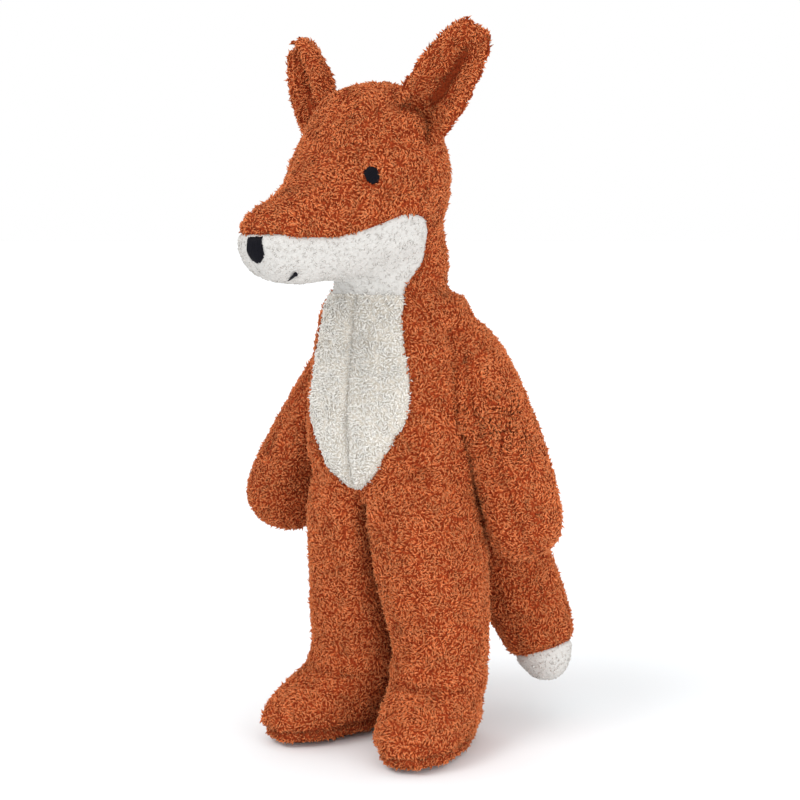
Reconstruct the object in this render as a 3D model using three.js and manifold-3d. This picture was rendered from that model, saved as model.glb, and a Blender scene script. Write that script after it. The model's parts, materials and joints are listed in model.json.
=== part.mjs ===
// A standing plush fox, 300 mm to its ear tips: fabric panels sewn over stuffing.
// Millimetres. The fox faces -Y, its left is +X, up is +Z, and its soles stand on z = 0.
import * as THREE from 'three';
import { mergeVertices } from 'three/addons/utils/BufferGeometryUtils.js';
import Module from 'manifold-3d';

const wasm = await Module();
wasm.setup();

// Fabric
const seamGap = 0.3;
const fabricThick = 2.6;
const cutReach = 400;

// Legs and feet
const legSpacing = 44;
const ankleHeight = 29;
const ankleWidth = 40;
const ankleDepth = 40;
const hipHeight = 100;
const thighDepth = 59;
const thighForward = 1.5;
const hipWidth = 80;
const thighMiddle = 14;
const footLength = 72;
const footWidth = 35;
const soleHeight = 6.5;
const soleDish = 0.5;
const toeOutDeg = 14;
const hipForwardDeg = 45;
const hipBackDeg = 12;
const gussetWidth = 7;
const gussetRise = 3;

// Torso
const crotchHeight = 92;
const neckHeight = 190;
const torsoWidth = 80;
const torsoDepth = 65;
const neckForward = 4.5;
const neckWidth = 49;
const neckDepth = 48;
const bellyWidth = 54;
const bellyPointHeight = 107;

// Arms
const armLength = 107;
const armWidth = 36;
const armThick = 33;
const shoulderDrop = 35;
const shoulderBack = 11;
const armRestHeight = 2;
const shoulderInset = 10.5;
const shoulderTiltDeg = 12;
const shoulderTurnDeg = 30;
const armSwingLeftDeg = 0;
const armSwingRightDeg = 23;
const armForwardDeg = 100;
const armBackDeg = 45;

// Head
const headLength = 100;
const headWidth = 66;
const headHeight = 84;
const headRise = 44;
const headBack = 14;
const headTurnDeg = 5;
const eyeWidth = 7.4;
const eyeDome = 2.2;
const eyeForward = 43.5;
const eyeRise = 4;
const noseWidth = 9.5;
const noseHeight = 9;
const noseDrop = 21;
const noseSide = 1.2;
const threadThick = 1.4;
const mouthWidth = 13;
const mouthForward = 72;
const mouthThread = 1.6;

// Ears
const earLength = 46;
const earWidth = 27;
const earThick = 4.4;
const earCup = 3;
const earSpacing = 46;
const earRise = 24;
const earForward = 14;
const earLeanDeg = 38;
const earBackDeg = 1;
const earTwistDeg = 28;

// Tail
const tailLength = 124;
const tailWidth = 40;
const tailRootHeight = 124;
const tailSide = 4;
const tailInset = 1;
const tailTipShare = 0.87;

// Facet counts
const ringSides = 14;
const hipSides = 12;
const limbSides = 10;
const discSides = 8;
const beadSides = 10;
const beadSteps = 3;

// Exponents of the rounded sections: 2 is an ellipse, more is squarer
const bodySquare = 2.15;
const thighSquare = 4.5;
const slimSquare = 2.1;

const rad = THREE.MathUtils.degToRad;
const X = new THREE.Vector3(1, 0, 0);
const Y = new THREE.Vector3(0, 1, 0);
const Z = new THREE.Vector3(0, 0, 1);
const origin = new THREE.Vector3();
const down = Z.clone().negate();

const orange = new THREE.MeshStandardMaterial({ color: 0xa64e2a, roughness: 0.95, metalness: 0 });
const white = new THREE.MeshStandardMaterial({ color: 0xe3ddd9, roughness: 0.95, metalness: 0 });
const cream = new THREE.MeshStandardMaterial({ color: 0xd8d2c8, roughness: 0.95, metalness: 0 });
const thread = new THREE.MeshStandardMaterial({ color: 0x1e1d29, roughness: 0.6, metalness: 0 });
const wool = new THREE.MeshStandardMaterial({ color: 0xece6d8, roughness: 1, metalness: 0 });

// A smooth curve through hand-chosen [share of length, value share] rows.
function curve(rowsOfShares) {
  const spots = rowsOfShares.map((row) => row[0]);
  return (t, column = 1) => {
    const last = rowsOfShares.length - 1;
    let i = 0;
    while (i < last - 1 && t > spots[i + 1]) i += 1;
    const value = (k) => rowsOfShares[Math.min(Math.max(k, 0), last)][column];
    const spot = (k) => spots[Math.min(Math.max(k, 0), last)];
    const slope = (k) => (value(k + 1) - value(k - 1)) / (spot(k + 1) - spot(k - 1));
    const span = spot(i + 1) - spot(i);
    const u = Math.min(Math.max((t - spot(i)) / span, 0), 1);
    const a = 2 * u ** 3 - 3 * u ** 2 + 1;
    const b = u ** 3 - 2 * u ** 2 + u;
    const c = u ** 3 - u ** 2;
    return a * value(i) + (1 - a) * value(i + 1) + span * (b * slope(i) + c * slope(i + 1));
  };
}

// A closed skin of rings between two poles. section(t) gives each ring's centre, its two
// half sizes and directions, and how square and how egg-shaped it is. Its inner side can
// have a half size and a squareness of its own. An inset draws the skin in by that
// distance, with half the facets; a negative inset swells it.
const leastShare = 1.5;

function loft(spots, facets, section, inset = 0) {
  const sides = inset > 0 ? facets / 2 : facets;
  const start = section(spots[0]).centre;
  const end = section(spots[spots.length - 1]).centre;
  const rings = spots.slice(1, -1).map(section).filter((s) => inset <= 0 || (
    s.centre.distanceTo(start) > inset
    && s.centre.distanceTo(end) > inset
    && Math.min(s.halfWidth, s.halfDepth) > leastShare * inset
  ));
  const pole = (tip, ring) => {
    const way = ring.centre.clone().sub(tip);
    return tip.clone().addScaledVector(way.normalize(), inset);
  };
  const points = [pole(start, rings[0])];
  const faces = [];
  for (const s of rings) {
    for (let k = 0; k < sides; k += 1) {
      const angle = (2 * Math.PI * k) / sides;
      const inner = s.inner !== undefined && Math.cos(angle) < 0;
      const round = 2 / ((inner ? s.innerSquare : s.square) ?? 2);
      const cos = Math.sign(Math.cos(angle)) * Math.abs(Math.cos(angle)) ** round;
      const sin = Math.sign(Math.sin(angle)) * Math.abs(Math.sin(angle)) ** round;
      const across = ((inner ? s.inner : s.halfWidth) - inset) * cos * (1 + (s.egg ?? 0) * sin);
      const along = (s.halfDepth - inset) * sin;
      points.push(s.centre.clone().addScaledVector(s.across, across).addScaledVector(s.along, along));
    }
  }
  points.push(pole(end, rings[rings.length - 1]));
  const at = (ring, k) => 1 + ring * sides + (k % sides);
  const top = rings.length - 1;
  for (let k = 0; k < sides; k += 1) {
    faces.push(0, at(0, k + 1), at(0, k));
    for (let ring = 0; ring < top; ring += 1) {
      faces.push(at(ring, k), at(ring, k + 1), at(ring + 1, k + 1));
      faces.push(at(ring, k), at(ring + 1, k + 1), at(ring + 1, k));
    }
    faces.push(at(top, k), at(top, k + 1), points.length - 1);
  }
  const geometry = new THREE.BufferGeometry().setFromPoints(points);
  geometry.setIndex(faces);
  return geometry;
}

function solid(geometry) {
  const bare = geometry.index ? geometry.clone() : geometry;
  bare.deleteAttribute('normal');
  bare.deleteAttribute('uv');
  const merged = mergeVertices(bare);
  const vertProperties = new Float32Array(merged.attributes.position.array);
  const triVerts = new Uint32Array(merged.index.array);
  const made = new wasm.Manifold(new wasm.Mesh({ numProp: 3, vertProperties, triVerts }));
  return made.volume() < 0 ? solid(flipped(merged)) : made;
}

function flipped(geometry) {
  const index = geometry.index.array;
  for (let i = 0; i < index.length; i += 3) [index[i], index[i + 1]] = [index[i + 1], index[i]];
  return geometry;
}

function placed(geometry, matrix) {
  return solid(geometry.clone().applyMatrix4(matrix));
}

function moved(shape, matrix) {
  return shape.transform(matrix.elements);
}

// The half of space on one side of a plane, as a large block.
function beyond(point, normal) {
  const block = new THREE.BoxGeometry(2 * cutReach, 2 * cutReach, 2 * cutReach);
  block.translate(0, 0, cutReach);
  block.applyQuaternion(new THREE.Quaternion().setFromUnitVectors(Z, normal));
  block.translate(point.x, point.y, point.z);
  return solid(block);
}

function keep(shape, point, normal) {
  const start = point.clone().addScaledVector(normal, seamGap / 2);
  return shape.intersect(beyond(start, normal));
}

function prism(outline, matrix) {
  const shape = new THREE.Shape(outline);
  const block = new THREE.ExtrudeGeometry(shape, { depth: cutReach, bevelEnabled: false });
  return placed(block, matrix);
}

const fox = new THREE.Group();

function add(parent, name, shape, material) {
  const mesh = shape.getMesh();
  const geometry = new THREE.BufferGeometry();
  geometry.setAttribute('position', new THREE.BufferAttribute(mesh.vertProperties, 3));
  geometry.setIndex(new THREE.BufferAttribute(mesh.triVerts, 1));
  geometry.computeVertexNormals();
  const part = new THREE.Mesh(geometry, material);
  part.name = name;
  parent.add(part);
}

const mirror = new THREE.Matrix4().makeScale(-1, 1, 1);

function sided(shape, side) {
  return side > 0 ? shape : moved(shape, mirror);
}

// Torso: rows of [height share, width share, depth share, forward share]
const torsoShares = [
  [0, 0.02, 0.02, 0],
  [0.03, 0.44, 0.42, 0],
  [0.09, 0.76, 0.7, 0.01],
  [0.18, 0.93, 0.88, 0.02],
  [0.3, 0.99, 0.97, 0.03],
  [0.44, 0.985, 1, 0.035],
  [0.58, 0.95, 0.99, 0.03],
  [0.72, 0.92, 0.96, 0.015],
  [0.84, 0.89, 0.93, 0.005],
  [0.93, 0.84, 0.9, 0.005],
  [0.98, 0.76, 0.84, 0.01],
  [1.03, 0.69, 0.78, 0.015],
  [1.16, 0.02, 0.02, 0.015],
];
const torsoCurve = curve(torsoShares);
const torsoHeight = neckHeight - crotchHeight;

function torsoSection(t) {
  return {
    centre: new THREE.Vector3(0, -torsoCurve(t, 3) * torsoDepth, crotchHeight + t * torsoHeight),
    across: X,
    along: Y,
    halfWidth: (torsoCurve(t, 1) * torsoWidth) / 2,
    halfDepth: (torsoCurve(t, 2) * torsoDepth) / 2,
    square: bodySquare,
  };
}

function torsoForm(inset) {
  return solid(loft(torsoShares.map((row) => row[0]), ringSides, torsoSection, inset));
}

// Head: rows of [length share from the nose, height share, width share, centre height share]
const headShares = [
  [0, 0.02, 0.02, -0.26],
  [0.014, 0.15, 0.19, -0.264],
  [0.043, 0.245, 0.3, -0.268],
  [0.09, 0.315, 0.365, -0.27],
  [0.176, 0.375, 0.43, -0.262],
  [0.27, 0.455, 0.53, -0.232],
  [0.366, 0.595, 0.67, -0.17],
  [0.46, 0.78, 0.83, -0.088],
  [0.576, 0.94, 0.96, -0.013],
  [0.71, 1, 1, 0],
  [0.824, 0.93, 0.94, 0.012],
  [0.919, 0.74, 0.76, 0.024],
  [0.976, 0.45, 0.46, 0.036],
  [1, 0.02, 0.02, 0.045],
];
const headCurve = curve(headShares);
const headMiddleHeight = neckHeight + headRise;
const noseTipY = headBack - headLength;

function headSection(t) {
  const height = headMiddleHeight + headCurve(t, 3) * headHeight;
  return {
    centre: new THREE.Vector3(0, noseTipY + t * headLength, height),
    across: Z,
    along: X,
    halfWidth: (headCurve(t, 1) * headHeight) / 2,
    halfDepth: (headCurve(t, 2) * headWidth) / 2,
    square: slimSquare,
  };
}

// Neck column inside the head: rows of [height share, size share]
const neckShares = [
  [-0.12, 0.02],
  [-0.1, 0.99],
  [0.3, 1.04],
  [0.8, 0.9],
  [1, 0.02],
];
const neckCurve = curve(neckShares);
const neckColumnShare = 0.55;
const neckColumn = headHeight * neckColumnShare;

function neckSection(t) {
  return {
    centre: new THREE.Vector3(0, -neckForward, neckHeight + t * neckColumn),
    across: X,
    along: Y,
    halfWidth: (neckCurve(t) * neckWidth) / 2,
    halfDepth: (neckCurve(t) * neckDepth) / 2,
  };
}

function headForm(inset) {
  const skull = solid(loft(headShares.map((row) => row[0]), ringSides, headSection, inset));
  const neck = solid(loft(neckShares.map((row) => row[0]), ringSides, neckSection, inset));
  return skull.add(neck);
}

// Leg: rows of [height share from ankle to hip, share of the way from a round ankle to the
// broad top of the thigh]
const legShares = [
  [-0.1, 0],
  [-0.06, 0],
  [0.2, 0.06],
  [0.45, 0.36],
  [0.72, 0.76],
  [1, 1],
  [1.04, 1],
];
const legCurve = curve(legShares);
const legLength = hipHeight - ankleHeight;
const hip = new THREE.Vector3(thighMiddle, -thighForward, hipHeight);
const thighRadius = thighDepth / 2;
const thighInner = thighMiddle - seamGap;
const thighOuter = hipWidth / 2 - thighMiddle;

function legSection(t) {
  const thigh = legCurve(t);
  const between = (ankle, top) => ankle + thigh * (top - ankle);
  return {
    centre: new THREE.Vector3(between(legSpacing / 2, hip.x), thigh * hip.y, ankleHeight + t * legLength),
    across: X,
    along: Y,
    halfWidth: between(ankleWidth / 2, thighOuter),
    inner: between(ankleWidth / 2, thighInner),
    innerSquare: between(2, thighSquare),
    halfDepth: between(ankleDepth / 2, thighRadius),
  };
}

// The round top of the thigh, turned about the hip axis so that the leg can swing in it.
const ballSpots = [-1, -0.93, -0.6, 0.1, 0.75, 1];

function hipBall(grow, inset) {
  const section = (t) => {
    const square = t < 0 ? thighSquare : 2;
    const radius = thighRadius * (1 - Math.abs(t) ** square) ** (1 / square) + grow;
    const half = t < 0 ? thighInner : thighOuter;
    return {
      centre: new THREE.Vector3(hip.x + t * (half + grow), hip.y, hipHeight),
      across: Y,
      along: Z,
      halfWidth: radius,
      halfDepth: radius,
    };
  };
  return solid(loft(ballSpots, hipSides, section, inset));
}

function thighTube(grow) {
  return solid(loft(legShares.map((row) => row[0]), hipSides, legSection, -grow));
}

function legForm(inset) {
  return thighTube(-inset).add(hipBall(0, inset));
}

// Foot: rows of [height share, length share, width share, heel share, egg]
const footShares = [
  [0, 0.84, 0.74, 0.06, 0.06],
  [0.005, 0.84, 0.74, 0.06, 0.06],
  [0.1, 0.95, 0.92, 0.015, 0.07],
  [0.25, 1, 1, 0, 0.08],
  [0.42, 0.985, 1.02, 0, 0.07],
  [0.58, 0.92, 1.03, 0, 0.05],
  [0.76, 0.77, 1.07, 0.015, 0.03],
  [0.95, 0.575, 1.12, 0.03, 0],
  [1.05, 0.56, 1.14, 0.035, 0],
  [1.1, 0.56, 1.14, 0.035, 0],
];
const footCurve = curve(footShares);
const toeOut = rad(toeOutDeg);
const heelReachShare = 0.34;

function footSection(t) {
  const ahead = new THREE.Vector3(Math.sin(toeOut), -Math.cos(toeOut), 0);
  const side = new THREE.Vector3(-ahead.y, ahead.x, 0);
  const length = footCurve(t, 1) * footLength;
  const heel = -heelReachShare * footLength + footCurve(t, 3) * footLength;
  const centre = new THREE.Vector3(legSpacing / 2, 0, t * (ankleHeight + soleDish) - soleDish);
  return {
    centre: centre.addScaledVector(ahead, heel + length / 2),
    across: side.negate(),
    along: ahead,
    halfWidth: (footCurve(t, 2) * footWidth) / 2,
    halfDepth: length / 2,
    egg: footCurve(t, 4),
    square: bodySquare,
  };
}

function footForm(inset) {
  return solid(loft(footShares.map((row) => row[0]), limbSides, footSection, inset));
}

// Arm: rows of [length share, thickness share, width share, distance share from the seam plane]
const armShares = [
  [0, 0.02, 0.02, 0.12],
  [0.02, 0.32, 0.36, 0.13],
  [0.07, 0.6, 0.62, 0.15],
  [0.15, 0.8, 0.82, 0.18],
  [0.3, 0.94, 0.95, 0.26],
  [0.52, 0.97, 0.97, 0.36],
  [0.72, 1, 1, 0.43],
  [0.84, 0.98, 0.99, 0.45],
  [0.92, 0.84, 0.87, 0.46],
  [0.975, 0.55, 0.6, 0.46],
  [1, 0.02, 0.02, 0.46],
];
const armCurve = curve(armShares);
const shoulderHeight = neckHeight - shoulderDrop;
const shoulderSpot = (shoulderHeight - crotchHeight) / torsoHeight;
const shoulderTilt = rad(shoulderTiltDeg);
const shoulderTurn = rad(shoulderTurnDeg);
const chest = torsoSection(shoulderSpot);
const shoulder = new THREE.Vector3(
  chest.halfWidth * Math.sqrt(1 - (shoulderBack / chest.halfDepth) ** 2) - shoulderInset,
  chest.centre.y + shoulderBack,
  shoulderHeight,
);
const shoulderOut = new THREE.Vector3(
  Math.cos(shoulderTilt) * Math.cos(shoulderTurn),
  Math.cos(shoulderTilt) * Math.sin(shoulderTurn),
  Math.sin(shoulderTilt),
);
const armWay = down.clone().projectOnPlane(shoulderOut).normalize();
const armAcross = new THREE.Vector3().crossVectors(shoulderOut, armWay);
const armAboveShare = 0.225;

function armSection(t) {
  const centre = shoulder.clone();
  centre.addScaledVector(armWay, (t - armAboveShare) * armLength);
  centre.addScaledVector(shoulderOut, armCurve(t, 3) * armThick);
  return {
    centre,
    across: armAcross,
    along: shoulderOut,
    halfWidth: (armCurve(t, 2) * armWidth) / 2,
    halfDepth: (armCurve(t, 1) * armThick) / 2,
    square: slimSquare,
  };
}

// A block outward from the flat that an arm is sewn to, drawn in from it by a distance.
function shoulderBlock(outline, inset) {
  const frame = new THREE.Matrix4().makeBasis(armAcross, armWay.clone().negate(), shoulderOut);
  frame.setPosition(shoulder.clone().addScaledVector(shoulderOut, -inset - seamGap / 2));
  return prism(outline, frame);
}

function shoulderDisc(clear, inset) {
  const radius = (armAboveShare * armLength + clear) / Math.cos(Math.PI / discSides);
  const outline = Array.from({ length: discSides }, (_, k) => {
    const angle = (2 * Math.PI * k) / discSides;
    return new THREE.Vector2(radius * Math.cos(angle), radius * Math.sin(angle));
  });
  return shoulderBlock(outline, inset);
}

// Past the round where it is sewn on, the arm stands clear of the thigh.
function armForm(inset) {
  const tube = solid(loft(armShares.map((row) => row[0]), limbSides, armSection, inset));
  const clear = shoulder.clone().addScaledVector(shoulderOut, armRestHeight + inset);
  return tube.intersect(beyond(clear, shoulderOut).add(shoulderDisc(-inset, 0)));
}

// Tail: a path of shares of its length, and rows of [path share, size share]
const tailBack = torsoSection((tailRootHeight - crotchHeight) / torsoHeight);
const tailRoot = new THREE.Vector3(
  tailSide,
  tailBack.centre.y + tailBack.halfDepth - tailInset,
  tailRootHeight,
);
const tailPathShares = [
  [0, -0.03, 0.03],
  [0.05, 0.12, -0.14],
  [0.13, 0.22, -0.4],
  [0.22, 0.27, -0.66],
  [0.3, 0.29, -0.89],
];
const tailPath = new THREE.CatmullRomCurve3(
  tailPathShares.map((row) => new THREE.Vector3(...row).multiplyScalar(tailLength).add(tailRoot)),
);
const tailShares = [
  [0, 0.02],
  [0.02, 0.5],
  [0.1, 0.66],
  [0.25, 0.85],
  [0.42, 0.97],
  [0.58, 1],
  [0.72, 0.96],
  [0.83, 0.86],
  [0.91, 0.7],
  [0.97, 0.45],
  [1, 0.02],
];
const tailCurve = curve(tailShares);

function tailSection(t) {
  const ahead = tailPath.getTangentAt(t);
  const across = new THREE.Vector3().crossVectors(Y, ahead).normalize();
  return {
    centre: tailPath.getPointAt(t),
    across,
    along: new THREE.Vector3().crossVectors(ahead, across),
    halfWidth: (tailCurve(t) * tailWidth) / 2,
    halfDepth: (tailCurve(t) * tailWidth) / 2,
  };
}

function tailForm(inset) {
  return solid(loft(tailShares.map((row) => row[0]), limbSides, tailSection, inset));
}

function shell(form) {
  return form(0).subtract(form(fabricThick));
}

function stuffing(form) {
  return form(fabricThick + seamGap);
}

// The largest body of a cut shape, without the slivers that a cut leaves beside it.
function largest(shape) {
  return shape.decompose().sort((a, b) => b.volume() - a.volume())[0];
}

// Belly patch: half outline in [height share, width share]
const bellyShares = [
  [0, 0],
  [0.035, 0.19],
  [0.17, 0.52],
  [0.28, 0.75],
  [0.42, 0.98],
  [0.58, 0.97],
  [0.8, 0.82],
  [1.1, 0.73],
];

function bellyPrism(grow) {
  const tall = neckHeight - bellyPointHeight;
  const point = new THREE.Vector2(0, bellyPointHeight - grow);
  const edge = (side) => bellyShares.slice(1).map(([up, out]) => new THREE.Vector2(
    side * ((out * bellyWidth) / 2 + grow),
    bellyPointHeight + up * tall,
  ));
  const upright = new THREE.Matrix4().makeRotationX(Math.PI / 2);
  return prism([point, ...edge(1), ...edge(-1).reverse()], upright);
}

// The outline of where a limb passes on its way between its limits, seen along its axis.
function sweep(x, y, reach, forwardDeg, backDeg) {
  const edge = (angle, way) => {
    const offset = new THREE.Vector2(way * Math.cos(angle), Math.sin(angle)).multiplyScalar(reach);
    const start = new THREE.Vector2(x, y).add(offset);
    const far = new THREE.Vector2(way * Math.sin(angle), -Math.cos(angle)).multiplyScalar(cutReach);
    return [start, start.clone().add(far)];
  };
  const [front, frontFar] = edge(rad(forwardDeg), -1);
  const [back, backFar] = edge(rad(backDeg), 1);
  return [new THREE.Vector2(x, y), front, frontFar, backFar, back];
}

function legPath() {
  const socketGrow = seamGap + thighRadius * (1 / Math.cos(Math.PI / hipSides) - 1);
  const reach = thighRadius + 2 * seamGap;
  const sideways = new THREE.Matrix4().makeBasis(Y, Z, X);
  sideways.setPosition(gussetWidth / 2, 0, 0);
  const wedge = prism(sweep(hip.y, hipHeight, reach, hipForwardDeg, hipBackDeg), sideways);
  return hipBall(socketGrow, 0).add(wedge);
}

const legSweep = legPath();

// The same for an arm, outward from the flat it is sewn to, drawn in by a distance.
function armPath(inset) {
  const clear = inset + 2 * seamGap;
  const wedge = sweep(0, 0, armWidth / 2 + clear, armForwardDeg, armBackDeg);
  return shoulderBlock(wedge, inset).add(shoulderDisc(clear, inset));
}

// The torso with a flat for each arm to be sewn to, drawn in from both by a distance.
function flatTorso(inset) {
  const path = armPath(inset);
  return torsoForm(inset).subtract(sided(path, 1)).subtract(sided(path, -1));
}

function cutTorso(shape) {
  let cut = keep(shape, new THREE.Vector3(0, 0, neckHeight), down);
  cut = keep(cut, hip.clone().setZ(hipHeight + gussetRise), Z);
  cut = keep(cut, tailRoot, Y.clone().negate());
  for (const side of [1, -1]) cut = cut.subtract(sided(legSweep, side));
  return largest(cut);
}

function addTorso() {
  const skin = cutTorso(shell(flatTorso));
  const sides = skin.subtract(bellyPrism(seamGap / 2));
  const belly = skin.intersect(bellyPrism(-seamGap / 2));
  for (const [name, side] of [['left', 1], ['right', -1]]) {
    const half = X.clone().multiplyScalar(side);
    add(fox, `side_panel_${name}`, largest(keep(sides, origin, half)), orange);
    add(fox, `belly_panel_${name}`, largest(keep(belly, origin, half)), cream);
  }
  add(fox, 'torso_stuffing', cutTorso(stuffing(flatTorso)), wool);
}

function addLeg(name, side) {
  const ankle = new THREE.Vector3(0, 0, ankleHeight);
  const cut = (shape) => keep(keep(shape, ankle, Z), origin, X);
  const skin = cut(shell(legForm));
  add(fox, `leg_outer_${name}`, sided(keep(skin, hip, X), side), orange);
  add(fox, `leg_inner_${name}`, sided(keep(skin, hip, X.clone().negate()), side), orange);
  add(fox, `leg_stuffing_${name}`, sided(cut(stuffing(legForm)), side), wool);
}

function addFoot(name, side) {
  const ankle = new THREE.Vector3(0, 0, ankleHeight);
  const floor = new THREE.Vector3(0, 0, -seamGap / 2);
  const soleSeam = new THREE.Vector3(0, 0, soleHeight);
  const skin = keep(keep(shell(footForm), ankle, down), floor, Z);
  add(fox, `foot_upper_${name}`, sided(keep(skin, soleSeam, Z), side), orange);
  add(fox, `sole_${name}`, sided(keep(skin, soleSeam, down), side), orange);
  add(fox, `foot_stuffing_${name}`, sided(keep(stuffing(footForm), ankle, down), side), wool);
}

function addArm(name, side, swing) {
  const pose = new THREE.Matrix4().makeTranslation(shoulder);
  pose.multiply(new THREE.Matrix4().makeRotationAxis(shoulderOut, -swing));
  pose.multiply(new THREE.Matrix4().makeTranslation(shoulder.clone().negate()));
  const form = (inset) => moved(armForm(inset), pose);
  const top = armSection(0.1).centre.applyMatrix4(pose);
  const end = armSection(0.9).centre.applyMatrix4(pose);
  const outward = armAcross.clone().applyAxisAngle(shoulderOut, -swing);
  outward.crossVectors(end.sub(top), outward).normalize();
  const skin = keep(shell(form), shoulder, shoulderOut);
  const core = keep(stuffing(form), shoulder, shoulderOut);
  add(fox, `arm_outer_${name}`, sided(keep(skin, top, outward.clone().negate()), side), orange);
  add(fox, `arm_inner_${name}`, sided(keep(skin, top, outward), side), orange);
  add(fox, `arm_stuffing_${name}`, sided(core, side), wool);
}

function addTail() {
  const tip = tailSection(tailTipShare);
  const ahead = new THREE.Vector3().crossVectors(tip.across, tip.along);
  const skin = keep(shell(tailForm), tailRoot, Y);
  const sleeve = keep(skin, tip.centre, ahead.clone().negate());
  add(fox, 'tail_tip', keep(skin, tip.centre, ahead), white);
  const middle = tailSection(0.5);
  const halves = [['left', middle.across], ['right', middle.across.clone().negate()]];
  for (const [name, out] of halves) {
    add(fox, `tail_panel_${name}`, largest(keep(sleeve, middle.centre, out)), orange);
  }
  add(fox, 'tail_stuffing', keep(stuffing(tailForm), tailRoot, Y), wool);
}

// Jaw patch, seen from the side: [length share from the nose, height share from the middle]
const jawShares = [
  [-0.1, -0.23],
  [0.06, -0.235],
  [0.14, -0.252],
  [0.27, -0.255],
  [0.42, -0.212],
  [0.57, -0.14],
  [0.64, -0.155],
  [0.695, -0.23],
  [0.715, -0.35],
  [0.66, -0.6],
  [-0.1, -0.6],
];

function jawPrism() {
  const outline = jawShares.map(([back, up]) => new THREE.Vector2(
    noseTipY + back * headLength,
    headMiddleHeight + up * headHeight,
  ));
  const sideways = new THREE.Matrix4().makeBasis(Y, Z, X);
  sideways.setPosition(seamGap / 2, 0, 0);
  return prism(outline, sideways);
}

// A thin patch lying on the head, where the outline's prism passes through it.
function headPatch(outline, matrix) {
  const sheet = headForm(-seamGap - threadThick).subtract(headForm(-seamGap));
  return largest(sheet.intersect(prism(outline, matrix)));
}

function addHead(parent) {
  const neck = new THREE.Vector3(0, 0, neckHeight);
  const skin = keep(shell(headForm), neck, Z);
  const jaw = jawPrism();
  const grown = jaw.add(moved(jaw, new THREE.Matrix4().makeTranslation(0, seamGap, seamGap)));
  for (const [name, side] of [['left', 1], ['right', -1]]) {
    const half = keep(skin, origin, X.clone().multiplyScalar(side));
    add(parent, `head_panel_${name}`, largest(half.subtract(sided(grown, side))), orange);
    add(parent, `jaw_panel_${name}`, largest(half.intersect(sided(jaw, side))), white);
  }
  add(parent, 'head_stuffing', keep(stuffing(headForm), neck, Z), wool);
}

function addEyes(parent) {
  const surface = new THREE.Mesh(new THREE.BufferGeometry());
  const mesh = headForm(-seamGap).getMesh();
  surface.geometry.setAttribute('position', new THREE.BufferAttribute(mesh.vertProperties, 3));
  surface.geometry.setIndex(new THREE.BufferAttribute(mesh.triVerts, 1));
  const start = new THREE.Vector3(cutReach, -eyeForward, headMiddleHeight + eyeRise);
  const hit = new THREE.Raycaster(start, X.clone().negate()).intersectObject(surface)[0];
  const radius = eyeWidth / 2;
  const sunk = radius / 2;
  const dome = [new THREE.Vector2(0, -sunk), new THREE.Vector2(radius, -sunk)];
  for (let i = 0; i <= beadSteps; i += 1) {
    const angle = (Math.PI * i) / (2 * beadSteps);
    dome.push(new THREE.Vector2(radius * Math.cos(angle), eyeDome * Math.sin(angle)));
  }
  dome[dome.length - 1].setX(0);
  const place = new THREE.Matrix4().makeRotationFromQuaternion(
    new THREE.Quaternion().setFromUnitVectors(Y, hit.face.normal),
  );
  place.setPosition(hit.point);
  const bead = placed(new THREE.LatheGeometry(dome, beadSides), place).subtract(headForm(-seamGap));
  for (const [name, side] of [['left', 1], ['right', -1]]) {
    add(parent, `eye_${name}`, sided(largest(bead), side), thread);
  }
}

// Nose patch, seen from the front: [width share, height share down from its top]
const noseShares = [
  [-0.46, 0],
  [0.46, 0],
  [0.5, -0.3],
  [0.42, -0.65],
  [0.24, -0.92],
  [0, -1],
  [-0.24, -0.92],
  [-0.42, -0.65],
  [-0.5, -0.3],
];

// Mouth stitches, seen from below: the middle of the thread, in shares of its width
const mouthShares = [
  [-0.5, 0.42],
  [-0.34, 0.2],
  [-0.16, 0.05],
  [0, 0],
  [0.16, 0.05],
  [0.34, 0.2],
  [0.5, 0.42],
];

function addStitching(parent) {
  const nose = noseShares.map(([x, z]) => new THREE.Vector2(
    x * noseWidth,
    headMiddleHeight - noseDrop + z * noseHeight,
  ));
  const fromFront = new THREE.Matrix4().makeRotationX(Math.PI / 2);
  fromFront.setPosition(noseSide, noseTipY + headLength / 4, 0);
  add(parent, 'nose', headPatch(nose, fromFront), thread);
  const line = (shift) => mouthShares.map(([x, y]) => new THREE.Vector2(
    x * mouthWidth,
    -mouthForward + y * mouthWidth + shift,
  ));
  const mouth = [...line(-mouthThread / 2), ...line(mouthThread / 2).reverse()];
  const fromBelow = new THREE.Matrix4().makeTranslation(0, 0, headMiddleHeight - cutReach - headHeight / 4);
  add(parent, 'mouth_thread', headPatch(mouth, fromBelow), thread);
}

// Ear: rows of [length share, width share, fold in shares of a half turn]
const earShares = [
  [0, 0.9, 0.5],
  [0.15, 1, 0.47],
  [0.32, 1, 0.43],
  [0.5, 0.94, 0.39],
  [0.66, 0.82, 0.36],
  [0.8, 0.68, 0.33],
  [0.92, 0.5, 0.31],
  [1, 0.28, 0.3],
];
const earCurve = curve(earShares);
const earSteps = 6;

function earPoint(u, v) {
  const half = (earCurve(v, 1) * earWidth) / 2;
  const fold = earCurve(v, 2) * Math.PI;
  const radius = half / fold;
  const bow = earCup * v * v;
  return new THREE.Vector3(
    radius * Math.sin(fold * u),
    bow - radius * (1 - Math.cos(fold * u)),
    v * earLength,
  );
}

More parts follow.
